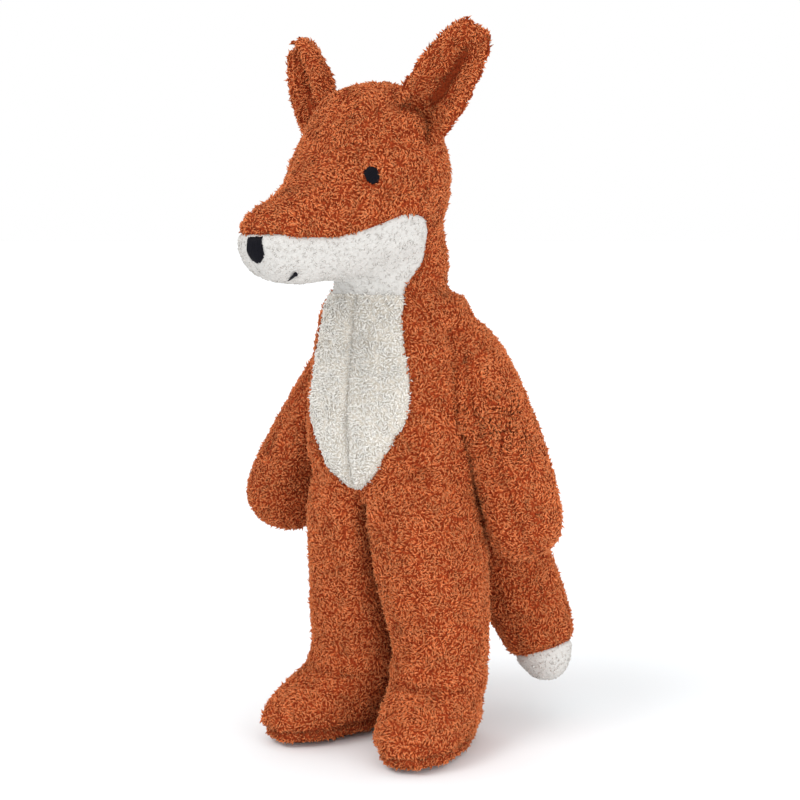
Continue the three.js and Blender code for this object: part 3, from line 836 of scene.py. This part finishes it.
def joined_node(tree, kind, settings=(), values=(), **sockets):
    """A node with its settings and values, and links into its named sockets."""
    made = tree.nodes.new(kind)
    for key, value in dict(settings).items():
        setattr(made, key, value)
    for key, value in dict(values).items():
        made.inputs[key].default_value = value
    for key, source in sockets.items():
        tree.links.new(source, made.inputs[key.replace("_", " ")])
    return made


def feed(tree, socket, term):
    """Gives a socket a value, or a link from another socket."""
    if isinstance(term, bpy.types.NodeSocket):
        tree.links.new(term, socket)
    else:
        socket.default_value = term


def worked_out(tree, operation, *terms, clamp=False):
    """A sum of numbers and sockets, as a math node."""
    made = tree.nodes.new("ShaderNodeMath")
    made.operation = operation
    made.use_clamp = clamp
    for i, term in enumerate(terms):
        feed(tree, made.inputs[i], term)
    return made.outputs[0]


def colour_between(tree, share, start, end):
    """A colour between two others."""
    made = joined_node(tree, "ShaderNodeMix", {"data_type": "RGBA"})
    for i, term in zip(MIX_INPUTS, (share, start, end)):
        feed(tree, made.inputs[i], term)
    return made.outputs[MIX_RESULT]


def drawn(tree, low, high, seed):
    """A random number for each point."""
    made = tree.nodes.new("FunctionNodeRandomValue")
    made.data_type = "FLOAT"
    made.inputs[2].default_value = low
    made.inputs[3].default_value = high
    made.inputs["Seed"].default_value = seed
    return made.outputs[1]


def named_attribute(tree, name, kind):
    """A value that the cloth or the locks carry."""
    made = joined_node(tree, "GeometryNodeInputNamedAttribute", {"data_type": kind}, {"Name": name})
    return made.outputs["Attribute"]


def noise_at(tree, place, scale):
    made = joined_node(tree, "ShaderNodeTexNoise", {}, {"Scale": scale, "Detail": 1.0}, Vector=place)
    return made.outputs[0]


def pile_tree(locks, flow_spread):
    """Geometry nodes that plant a set of locks over a sheet of cloth, combed in drifting directions."""
    tree = bpy.data.node_groups.new(locks.name, "GeometryNodeTree")
    face = tree.interface
    face.new_socket("Cloth", in_out="INPUT", socket_type="NodeSocketGeometry")
    face.new_socket("Spacing", in_out="INPUT", socket_type="NodeSocketFloat")
    face.new_socket("Seed", in_out="INPUT", socket_type="NodeSocketInt")
    face.new_socket("Pile", in_out="OUTPUT", socket_type="NodeSocketGeometry")
    given = tree.nodes.new("NodeGroupInput")
    spacing = given.outputs["Spacing"]
    crowding = worked_out(tree, "DIVIDE", planting_tries, worked_out(tree, "MULTIPLY", spacing, spacing))
    planted = joined_node(
        tree,
        "GeometryNodeDistributePointsOnFaces",
        {"distribute_method": "POISSON"},
        Mesh=given.outputs["Cloth"],
        Distance_Min=spacing,
        Density_Max=crowding,
        Seed=given.outputs["Seed"],
    )
    place = tree.nodes.new("GeometryNodeInputPosition").outputs[0]
    flow = worked_out(tree, "MULTIPLY", noise_at(tree, place, flow_scale), math.tau * flow_turns)
    heading = worked_out(tree, "ADD", flow, drawn(tree, -flow_spread, flow_spread, seed=1))
    euler = tree.nodes.new("ShaderNodeCombineXYZ")
    tree.links.new(drawn(tree, -pile_lean, pile_lean, seed=2), euler.inputs[0])
    tree.links.new(drawn(tree, -pile_lean, pile_lean, seed=3), euler.inputs[1])
    tree.links.new(heading, euler.inputs[2])
    turn = joined_node(tree, "FunctionNodeEulerToRotation", Euler=euler.outputs[0])
    rotation = joined_node(
        tree,
        "FunctionNodeRotateRotation",
        {"rotation_space": "LOCAL"},
        Rotation=planted.outputs["Rotation"],
        Rotate_By=turn.outputs[0],
    )
    kinds = joined_node(
        tree,
        "GeometryNodeCollectionInfo",
        {},
        {"Collection": locks, "Separate Children": True, "Reset Children": True},
    )
    length = named_attribute(tree, "pile", "FLOAT")
    scale = worked_out(tree, "MULTIPLY", drawn(tree, *SIZES, seed=4), length)
    standing = joined_node(
        tree,
        "GeometryNodeInstanceOnPoints",
        {},
        {"Pick Instance": True},
        Points=planted.outputs["Points"],
        Instance=kinds.outputs[0],
        Rotation=rotation.outputs[0],
        Scale=scale,
    )
    patches = noise_at(tree, place, patch_scale)
    patchy = worked_out(tree, "MULTIPLY_ADD", patches, patch_weight, patch_shift)
    own = worked_out(tree, "MULTIPLY_ADD", drawn(tree, 0.0, 1.0, seed=5), own_weight, patchy)
    # The pile's length joins each lock's own random tone, so locks are darker where the pile is short:
    # painted shade at seams, creases, folds, soles and the stitched patches
    tone = worked_out(tree, "ADD", own, length, clamp=True)
    marked = joined_node(
        tree,
        "GeometryNodeStoreNamedAttribute",
        {"data_type": "FLOAT", "domain": "INSTANCE"},
        {"Name": "tone"},
        Geometry=standing.outputs[0],
        Value=tone,
    )
    real = joined_node(tree, "GeometryNodeRealizeInstances", Geometry=marked.outputs[0])
    stored_tone_and_shade = named_attribute(tree, "tone", "FLOAT")
    own_map = named_attribute(tree, "OFBake", "FLOAT_VECTOR")
    split = joined_node(tree, "ShaderNodeSeparateXYZ", Vector=own_map)
    across = worked_out(tree, "MULTIPLY_ADD", stored_tone_and_shade, tone_map_width, split.outputs[0])
    spot = joined_node(tree, "ShaderNodeCombineXYZ", X=across, Y=split.outputs[1])
    mapped = joined_node(
        tree,
        "GeometryNodeStoreNamedAttribute",
        {"data_type": "FLOAT2", "domain": "CORNER"},
        {"Name": "OFBake"},
        Geometry=real.outputs[0],
        Value=spot.outputs[0],
    )
    result = tree.nodes.new("NodeGroupOutput")
    tree.links.new(mapped.outputs[0], result.inputs[0])
    return tree


def socket_id(tree, name):
    return next(item.identifier for item in tree.interface.items_tree if item.name == name)


def planted_pile(panel, cloth, tree, spacing, seed, material):
    """The pile on one panel, as a mesh of its own."""
    pile = bpy.data.objects.new(panel + "_pile", cloth.data.copy())
    scene.collection.objects.link(pile)
    plant = pile.modifiers.new("plant", "NODES")
    plant.node_group = tree
    plant[socket_id(tree, "Spacing")] = spacing
    plant[socket_id(tree, "Seed")] = seed
    applied(pile)
    pile.data.materials.clear()
    pile.data.materials.append(material)
    return pile


def stretch_of(tree, value, start, end):
    """0 to 1 as a value runs from the start to the end."""
    return joined_node(tree, "ShaderNodeMapRange", {}, {"From Min": start, "From Max": end}, Value=value)


def pile_tone_and_shade_group():
    """Shader group: a lock's colour along its length, its darker root partly painted shade, and by its
    tone, with locks of low tone darkened further as painted shade.
    """
    tree = bpy.data.node_groups.new("pile_tone", "ShaderNodeTree")
    face = tree.interface
    for name in ("Root", "Middle", "Tip"):
        face.new_socket(name, in_out="INPUT", socket_type="NodeSocketColor")
    face.new_socket("Variation", in_out="INPUT", socket_type="NodeSocketFloat")
    face.new_socket("Color", in_out="OUTPUT", socket_type="NodeSocketColor")
    given = tree.nodes.new("NodeGroupInput")
    place = joined_node(tree, "ShaderNodeUVMap", {"uv_map": "OFBake"})
    split = joined_node(tree, "ShaderNodeSeparateXYZ", Vector=place.outputs[0])
    along = split.outputs[1]
    lower = stretch_of(tree, along, 0.0, middle_along).outputs[0]
    upper = stretch_of(tree, along, middle_along, 1.0).outputs[0]
    shaft = colour_between(tree, lower, given.outputs["Root"], given.outputs["Middle"])
    whole = colour_between(tree, upper, shaft, given.outputs["Tip"])
    spread = worked_out(tree, "SUBTRACT", split.outputs[0], tone_middle)
    bright = worked_out(tree, "MULTIPLY_ADD", spread, given.outputs["Variation"], 1.0)
    # Painted shade: locks of the lowest tone, mostly short pile in seams, creases and folds, are darkened
    # down to this
    deepest = worked_out(tree, "MULTIPLY_ADD", given.outputs["Variation"], -fold_shade, 1.0)
    shade = stretch_of(tree, split.outputs[0], 0.0, shade_reach)
    tree.links.new(deepest, shade.inputs["To Min"])
    bright = worked_out(tree, "MULTIPLY", bright, shade.outputs[0])
    varied = joined_node(tree, "ShaderNodeHueSaturation", Color=whole, Value=bright)
    result = tree.nodes.new("NodeGroupOutput")
    tree.links.new(varied.outputs[0], result.inputs[0])
    return tree


def colour(r, g, b):
    """Linear colour from the 0 to 255 values seen on screen."""
    return [*(((v / 255 + 0.055) / 1.055) ** 2.4 if v > 10 else v / 255 / 12.92 for v in (r, g, b)), 1.0]


def new_material(name, roughness, specular=plain_specular, sheen=0.0, sheen_tint=WHITE):
    material = bpy.data.materials.new(name)
    material.use_nodes = True
    shader = material.node_tree.nodes["Principled BSDF"]
    shader.inputs["Roughness"].default_value = roughness
    shader.inputs["Specular IOR Level"].default_value = specular
    shader.inputs["Sheen Weight"].default_value = sheen
    shader.inputs["Sheen Roughness"].default_value = sheen_roughness
    shader.inputs["Sheen Tint"].default_value = sheen_tint
    return material, material.node_tree, shader


def pile_material(name, tone, root, middle, tip, variation, sheen):
    material, tree, shader = new_material(name, pile_roughness, fibre_specular, sheen, tip)
    shade = tree.nodes.new("ShaderNodeGroup")
    shade.node_tree = tone
    shade.inputs["Root"].default_value = root
    shade.inputs["Middle"].default_value = middle
    shade.inputs["Tip"].default_value = tip
    shade.inputs["Variation"].default_value = variation
    tree.links.new(shade.outputs[0], shader.inputs["Base Color"])
    return material


def object_noise(tree, scale, detail):
    place = tree.nodes.new("ShaderNodeTexCoord").outputs["Object"]
    return joined_node(tree, "ShaderNodeTexNoise", {}, {"Scale": scale, "Detail": detail}, Vector=place)


def roughen(tree, shader, pattern, strength, depth):
    """Raises a pattern on a material as a bump."""
    values = {"Strength": strength, "Distance": depth}
    bump = joined_node(tree, "ShaderNodeBump", {}, values, Height=pattern.outputs[0])
    tree.links.new(bump.outputs[0], shader.inputs["Normal"])


def cloth_material(name, dark, light):
    """The ground cloth under the pile: a felted grain, darker in its gaps, in colours that paint the shade
    under the pile.
    """
    material, tree, shader = new_material(name, cloth_roughness, fibre_specular)
    grain = object_noise(tree, grain_scale, grain_detail)
    ramp = tree.nodes.new("ShaderNodeValToRGB")
    ramp.color_ramp.elements[0].position = grain_dark
    ramp.color_ramp.elements[0].color = dark
    ramp.color_ramp.elements[1].position = grain_light
    ramp.color_ramp.elements[1].color = light
    tree.links.new(grain.outputs[0], ramp.inputs[0])
    tree.links.new(ramp.outputs[0], shader.inputs["Base Color"])
    roughen(tree, shader, grain, grain_strength, grain_depth)
    return material


def thread_material(name, dark, light):
    """Satin embroidery thread: fine plies that shift between two close tones."""
    material, tree, shader = new_material(name, thread_roughness, thread_specular)
    plies = object_noise(tree, ply_scale, ply_detail)
    satin = colour_between(tree, plies.outputs[0], dark, light)
    tree.links.new(satin, shader.inputs["Base Color"])
    roughen(tree, shader, plies, ply_strength, ply_depth)
    return material


def threads(name, lines, radius):
    """Lengths of thread along lines of points, as a bmesh."""
    data = bpy.data.curves.new(name, "CURVE")
    data.dimensions = "3D"
    data.bevel_depth = radius
    data.bevel_resolution = 1
    data.use_fill_caps = True
    for line in lines:
        spline = data.splines.new("POLY")
        spline.points.add(len(line) - 1)
        for point, place in zip(spline.points, line):
            point.co = (*place, 1)
    cord = bpy.data.objects.new(name, data)
    scene.collection.objects.link(cord)
    view = bpy.context.evaluated_depsgraph_get()
    mesh = bpy.data.meshes.new_from_object(cord.evaluated_get(view))
    bm = bmesh.new()
    bm.from_mesh(mesh)
    bpy.data.objects.remove(cord)
    bpy.data.curves.remove(data)
    bpy.data.meshes.remove(mesh)
    return bm


def stitched_patch(name, node, away, along, centre, row_ends, seed):
    """A satin patch: threads side by side over a pad, down into the cloth at both ends of each row."""
    rng = random.Random(seed)
    tree = skin_of(panels_of("head"))
    place, facing, _, _ = tree.ray_cast(centre + away * stitch_reach, -away)
    along = (along - facing * along.dot(facing)).normalized()
    step = facing.cross(along)
    lines = []
    row = -math.ceil(patch_reach / thread_pitch)
    while row * thread_pitch < patch_reach:
        across = row * thread_pitch
        row += 1
        ends = row_ends(across)
        if ends is None:
            continue
        start = ends[0] + rng.uniform(-1, 1) * thread_unevenness
        end = ends[1] + rng.uniform(-1, 1) * thread_unevenness
        line = []
        for i in range(thread_points + 1):
            share = i / thread_points
            spot = place + along * (start + (end - start) * share) + step * across
            on_skin, normal, _, _ = tree.ray_cast(spot + facing * stitch_reach, -facing)
            if on_skin is None:
                continue
            height = pad_height * math.sin(math.pi * share) ** pad_fullness + rng.uniform(0, thread_lift)
            line.append(on_skin + normal * height)
        line.insert(0, line[0] - facing * thread_tuck)
        line.append(line[-1] - facing * thread_tuck)
        lines.append(line)
    return finished_stitching(name, [threads(name, lines, thread_radius), stitch_pad(lines, facing)], node)


def stitch_pad(rows, facing):
    """The wadding under a satin patch: a closed body just below its rows of thread."""
    bm = bmesh.new()
    count = min(len(row) for row in rows)
    places = [place for row in rows for place in row[:count]]
    bmesh.ops.create_grid(bm, x_segments=count - 1, y_segments=len(rows) - 1, size=1)
    for vert, place in zip(bm.verts, places, strict=True):
        vert.co = place - facing * thread_radius
    made = bmesh.ops.extrude_face_region(bm, geom=bm.faces[:], use_keep_orig=True)["geom"]
    lower = [item for item in made if isinstance(item, bmesh.types.BMVert)]
    bmesh.ops.translate(bm, verts=lower, vec=-facing * thread_tuck)
    bmesh.ops.recalc_face_normals(bm, faces=bm.faces)
    return bm


def skin_of(panels):
    """The outer surface of some finished panels, for threads to be laid on."""
    bm = bmesh.new()
    for panel in panels:
        bm.from_mesh(bpy.data.objects[panel + "_cloth"].data)
    tree = BVHTree.FromBMesh(bm)
    bm.free()
    return tree


def eye_place(name, side):
    """The middle of an eye, a little out, back and down from its pattern."""
    way = LEFT * side - FRONT * eye_back_share + DOWN * eye_down_share
    return middle_of("eye_" + name) + way * eye_shift


def nose_place():
    return middle_of("nose") + LEFT * nose_shift


def eye_row(across):
    """Where a row of an eye's threads starts and ends: an oval."""
    share = 1 - (across / eye_half_width) ** 2
    if share <= least_row_share:
        return None
    return -eye_half_length * math.sqrt(share), eye_half_length * math.sqrt(share)


def nose_row(across):
    """Where a row of the nose's threads starts and ends: a flat top and a rounded bottom."""
    share = 1 - (across / nose_half_width) ** 2
    if share <= least_row_share:
        return None
    corner = min(1.0, share / nose_corner)
    return -nose_drop * math.sqrt(share), nose_rise * corner


def finished_stitching(name, solids, node):
    """Joins stitched parts into a piece that stands for a CAD node of the head."""
    bm = joined(solids)
    for face in bm.faces:
        face.smooth = True
        face.material_index = 0
    piece = new_object(name, bm)
    piece.data.materials.clear()
    piece.data.materials.append(THREAD)
    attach(piece, "head")
    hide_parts(node)
    return piece


def knot(place, radius):
    bm = bmesh.new()
    bmesh.ops.create_icosphere(bm, subdivisions=2, radius=radius)
    bmesh.ops.translate(bm, verts=bm.verts, vec=place)
    return bm


def stitched_mouth():
    """One thick thread across the underside of the muzzle, its ends turned up and knotted."""
    middle = middle_of("mouth_thread")
    tree = skin_of(["jaw_panel_left", "jaw_panel_right"])
    line = []
    for i in range(-mouth_steps, mouth_steps + 1):
        share = i / mouth_steps
        turn = mouth_spread * share
        out = LEFT * math.sin(turn) + DOWN * math.cos(turn)
        axis = middle + UP * mouth_axis_rise + FRONT * mouth_slant * share
        place = tree.ray_cast(axis + out * mouth_axis_rise * 2, -out)[0]
        height = mouth_lift * (share**2 - mouth_sunk_share) / (1 - mouth_sunk_share)
        line.append(place + out * height)
    knots = [knot(line[end], mouth_radius * knot_share) for end in (0, -1)]
    thread = threads("mouth_stitch", [line], mouth_radius)
    finished_stitching("mouth_stitch", [thread, *knots], "mouth_thread")


def hip_plane(side):
    """A point on the line where a thigh bends, and the way from the torso into the leg."""
    start = Vector((middle_x, hip_middle.y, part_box("side_panel_left")[0].z))
    way = Vector((side * math.sin(hip_line_rise), 0, -math.cos(hip_line_rise)))
    return start, way


def make_camera():
    data = bpy.data.cameras.new("camera")
    data.sensor_width = sensor_width
    data.lens = focal_pixels / picture_width * sensor_width
    data.shift_x = (picture_width / 2 - centre_pixel_x) / picture_width
    camera = bpy.data.objects.new("camera", data)
    scene.collection.objects.link(camera)
    side = Vector((math.sin(camera_turn), -math.cos(camera_turn), 0))
    camera.location = foot_middle + side * camera_distance + UP * camera_height
    camera.rotation_euler = (math.pi / 2 - camera_pitch, 0, camera_turn)
    scene.camera = camera


def soft_light(name, way, strength, spread):
    """A far, broad light that shines from the given way."""
    data = bpy.data.lights.new(name, "SUN")
    data.energy = strength
    data.angle = spread
    light = bpy.data.objects.new(name, data)
    scene.collection.objects.link(light)
    light.rotation_euler = way.to_track_quat("Z", "Y").to_euler()


def panel_light(name, place, target, size, strength):
    """A near, square light panel."""
    data = bpy.data.lights.new(name, "AREA")
    data.energy = strength
    data.size = size
    light = bpy.data.objects.new(name, data)
    scene.collection.objects.link(light)
    light.location = place
    light.rotation_euler = (place - target).to_track_quat("Z", "Y").to_euler()


def make_studio():
    """A pale floor under an even white sky, with two broad lights and a low one for the tail."""
    bm = bmesh.new()
    bmesh.ops.create_circle(bm, cap_ends=True, segments=floor_sides, radius=floor_radius)
    floor = new_object("floor", bm)
    material, _, shader = new_material("floor_white", floor_roughness)
    shader.inputs["Base Color"].default_value = FLOOR_TONE
    floor.data.materials.append(material)
    world = bpy.data.worlds.new("studio")
    world.use_nodes = True
    world.node_tree.nodes["Background"].inputs["Color"].default_value = WHITE
    world.node_tree.nodes["Background"].inputs["Strength"].default_value = sky_strength
    scene.world = world
    soft_light("key", KEY_WAY, key_strength, key_spread)
    soft_light("fill", FILL_WAY, fill_strength, fill_spread)
    panel_light("low_light", LOW_LIGHT_PLACE, LOW_LIGHT_TARGET, low_light_size, low_light_strength)
    scene.view_settings.view_transform = "Standard"


make_camera()
make_studio()

tone = pile_tone_and_shade_group()
# Each pile runs from a darker root to a lighter tip: partly the plush's own colour, partly painted shade
# deep in the pile between the locks
ORANGE_PILE = pile_material(
    "orange_pile",
    tone,
    root=colour(104, 34, 10),
    middle=colour(190, 95, 50),
    tip=colour(232, 154, 104),
    variation=0.55,
    sheen=0.3,
)
WHITE_PILE = pile_material(
    "white_pile",
    tone,
    root=colour(205, 201, 196),
    middle=colour(206, 202, 197),
    tip=colour(212, 208, 203),
    variation=0.04,
    sheen=0.1,
)
CREAM_PILE = pile_material(
    "cream_pile",
    tone,
    root=colour(212, 206, 199),
    middle=colour(231, 227, 220),
    tip=colour(246, 244, 240),
    variation=0.14,
    sheen=0.1,
)
# Ground cloths, darker than their pile and the orange one most: painted shade under the pile, over the
# felt's own grain
ORANGE_CLOTH = cloth_material("orange_cloth", colour(112, 36, 12), colour(160, 66, 32))
WHITE_CLOTH = cloth_material("white_cloth", colour(200, 197, 193), colour(208, 205, 201))
CREAM_CLOTH = cloth_material("cream_cloth", colour(190, 181, 168), colour(220, 213, 203))
THREAD = thread_material("black_thread", colour(7, 6, 10), colour(14, 14, 26))

plush_locks = lock_set("plush_lock", *PLUSH_LOCK, seed=1)
fine_locks = lock_set("fine_lock", *FINE_LOCK, seed=2)
plush_tree = pile_tree(plush_locks, plush_spread)
fine_tree = pile_tree(fine_locks, fine_spread)

FINISH = {
    "orange_plush": (ORANGE_CLOTH, ORANGE_PILE, plush_tree, orange_spacing),
    "white_plush": (WHITE_CLOTH, WHITE_PILE, fine_tree, white_spacing),
    "cream_plush": (CREAM_CLOTH, CREAM_PILE, plush_tree, cream_spacing),
}


def dress(sheets, follow, first_seed, stands_in=(), thickness=cloth_thick):
    """Finishes each panel: its cloth and its pile, what they stand for and what they move with."""
    for i, (panel, cloth) in enumerate(sheets.items()):
        cloth_look, pile_look, tree, spacing = FINISH[SLOTS[panel]]
        pile = planted_pile(panel, cloth, tree, spacing, first_seed + i, pile_look)
        thick = cloth.modifiers.new("thickness", "SOLIDIFY")
        thick.thickness = thickness
        thick.offset = -1
        cloth.data.materials.clear()
        cloth.data.materials.append(cloth_look)
        applied(cloth)
        for piece in (cloth, pile):
            follow(piece)
            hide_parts(panel)
        if i == 0:
            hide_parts(*stands_in)


def stuffing_of(body):
    return [node for node in BODIES[body] if SLOTS[node] == "stuffing"]


def riding(body):
    return lambda piece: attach(piece, body)


def twisting(piece):
    """Bakes the piece's place into its mesh; it follows no body."""
    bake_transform(piece)


def bending():
    return lambda piece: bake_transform(piece)


torso_nodes = BODIES["torso"]
legs_nodes = BODIES["leg_left"] + BODIES["leg_right"]
head_panels = panels_of("head")
face_panels = [panel for panel in head_panels if not panel.startswith("ear")]
head_nodes = face_panels + ["head_stuffing"]

# Arm forms come first, because the torso's cloth creases along them
arm_forms = {}
for name, _ in SIDES:
    body = "arm_" + name
    arm_forms[body] = stuffed_form(body + "_form", merged_copy(BODIES[body]), body_voxel, body_smoothing)
lobed_arm(arm_forms["arm_left"])

# Torso and head
solids = [merged_copy(torso_nodes + legs_nodes + head_nodes)]
solids += [arm_stub(name) for name, _ in SIDES]
form = stuffed_form("torso_form", joined(solids), body_voxel, body_smoothing)
cuts = [(neck, DOWN)]
for name, side in SIDES:
    start, way = hip_plane(side)
    cuts.append((start, -way))
sheets = panel_sheets(form, panels_of("torso"), body_sink, cuts, body_fill, stretched_belly, arm_creases)
dress(sheets, twisting, SEEDS["torso"], stuffing_of("torso"))
bare = [(eye_place(name, side), eye_half_length) for name, side in SIDES]
bare.append((nose_place(), nose_drop + bare_margin))
above = [(neck, UP)]
sheets = panel_sheets(form, face_panels, body_sink, above, body_fill, stretched_cheeks, ear_root, bare)
dress(sheets, twisting, SEEDS["head"], stuffing_of("head"))
bpy.data.objects.remove(form)

# Legs
for number, (name, side) in enumerate(SIDES):
    body = "leg_" + name
    form = stuffed_form(body + "_form", merged_copy(torso_nodes + BODIES[body]), body_voxel, body_smoothing)
    start, way = hip_plane(side)
    cuts = [(start, way), (Vector((middle_x, 0, 0)), LEFT * side)]
    sheets = panel_sheets(form, panels_of(body), body_sink, cuts, body_fill)
    dress(sheets, bending(), SEEDS["leg"] + seed_step * number, stuffing_of(body))
    bpy.data.objects.remove(form)

# Arms
for number, (name, _) in enumerate(SIDES):
    body = "arm_" + name
    sheets = panel_sheets(arm_forms[body], panels_of(body), body_sink, (), arm_fill(name))
    dress(sheets, riding(body), SEEDS["arm"] + seed_step * number, stuffing_of(body))
    bpy.data.objects.remove(arm_forms[body])

# Tail
form = stuffed_form("tail_form", merged_copy(BODIES["tail"]), body_voxel, body_smoothing)
sheets = panel_sheets(form, panels_of("tail"), body_sink)
dress(sheets, riding("tail"), SEEDS["tail"], stuffing_of("tail"))
bpy.data.objects.remove(form)

# Ears
for number, (name, side) in enumerate(SIDES):
    ear_panels = [panel for panel in head_panels if panel.startswith("ear") and panel.endswith(name)]
    form = stuffed_form("ear_form_" + name, merged_copy(ear_panels), ear_voxel, ear_smoothing)
    shaped_ear(form, side)
    folded = functools.partial(folded_front, name, side)
    sheets = panel_sheets(form, ear_panels, EAR_SINK[name], creased=folded)
    dress(sheets, riding("head"), SEEDS["ear"] + seed_step * number, (), ear_cloth_thick)
    bpy.data.objects.remove(form)

# Stitched face
for number, (name, side) in enumerate(SIDES):
    away = (LEFT * side + FRONT * eye_front_share).normalized()
    stitched_patch(
        "eye_stitching_" + name,
        "eye_" + name,
        away,
        EYE_THREADS_WAY,
        eye_place(name, side),
        eye_row,
        SEEDS["eye"] + number,
    )
stitched_patch("nose_stitching", "nose", FRONT, UP, nose_place(), nose_row, SEEDS["nose"])
stitched_mouth()

# The loose locks have been planted and are no longer needed
for collection in (plush_locks, fine_locks):
    for lock in collection.objects[:]:
        bpy.data.objects.remove(lock)
    bpy.data.collections.remove(collection)
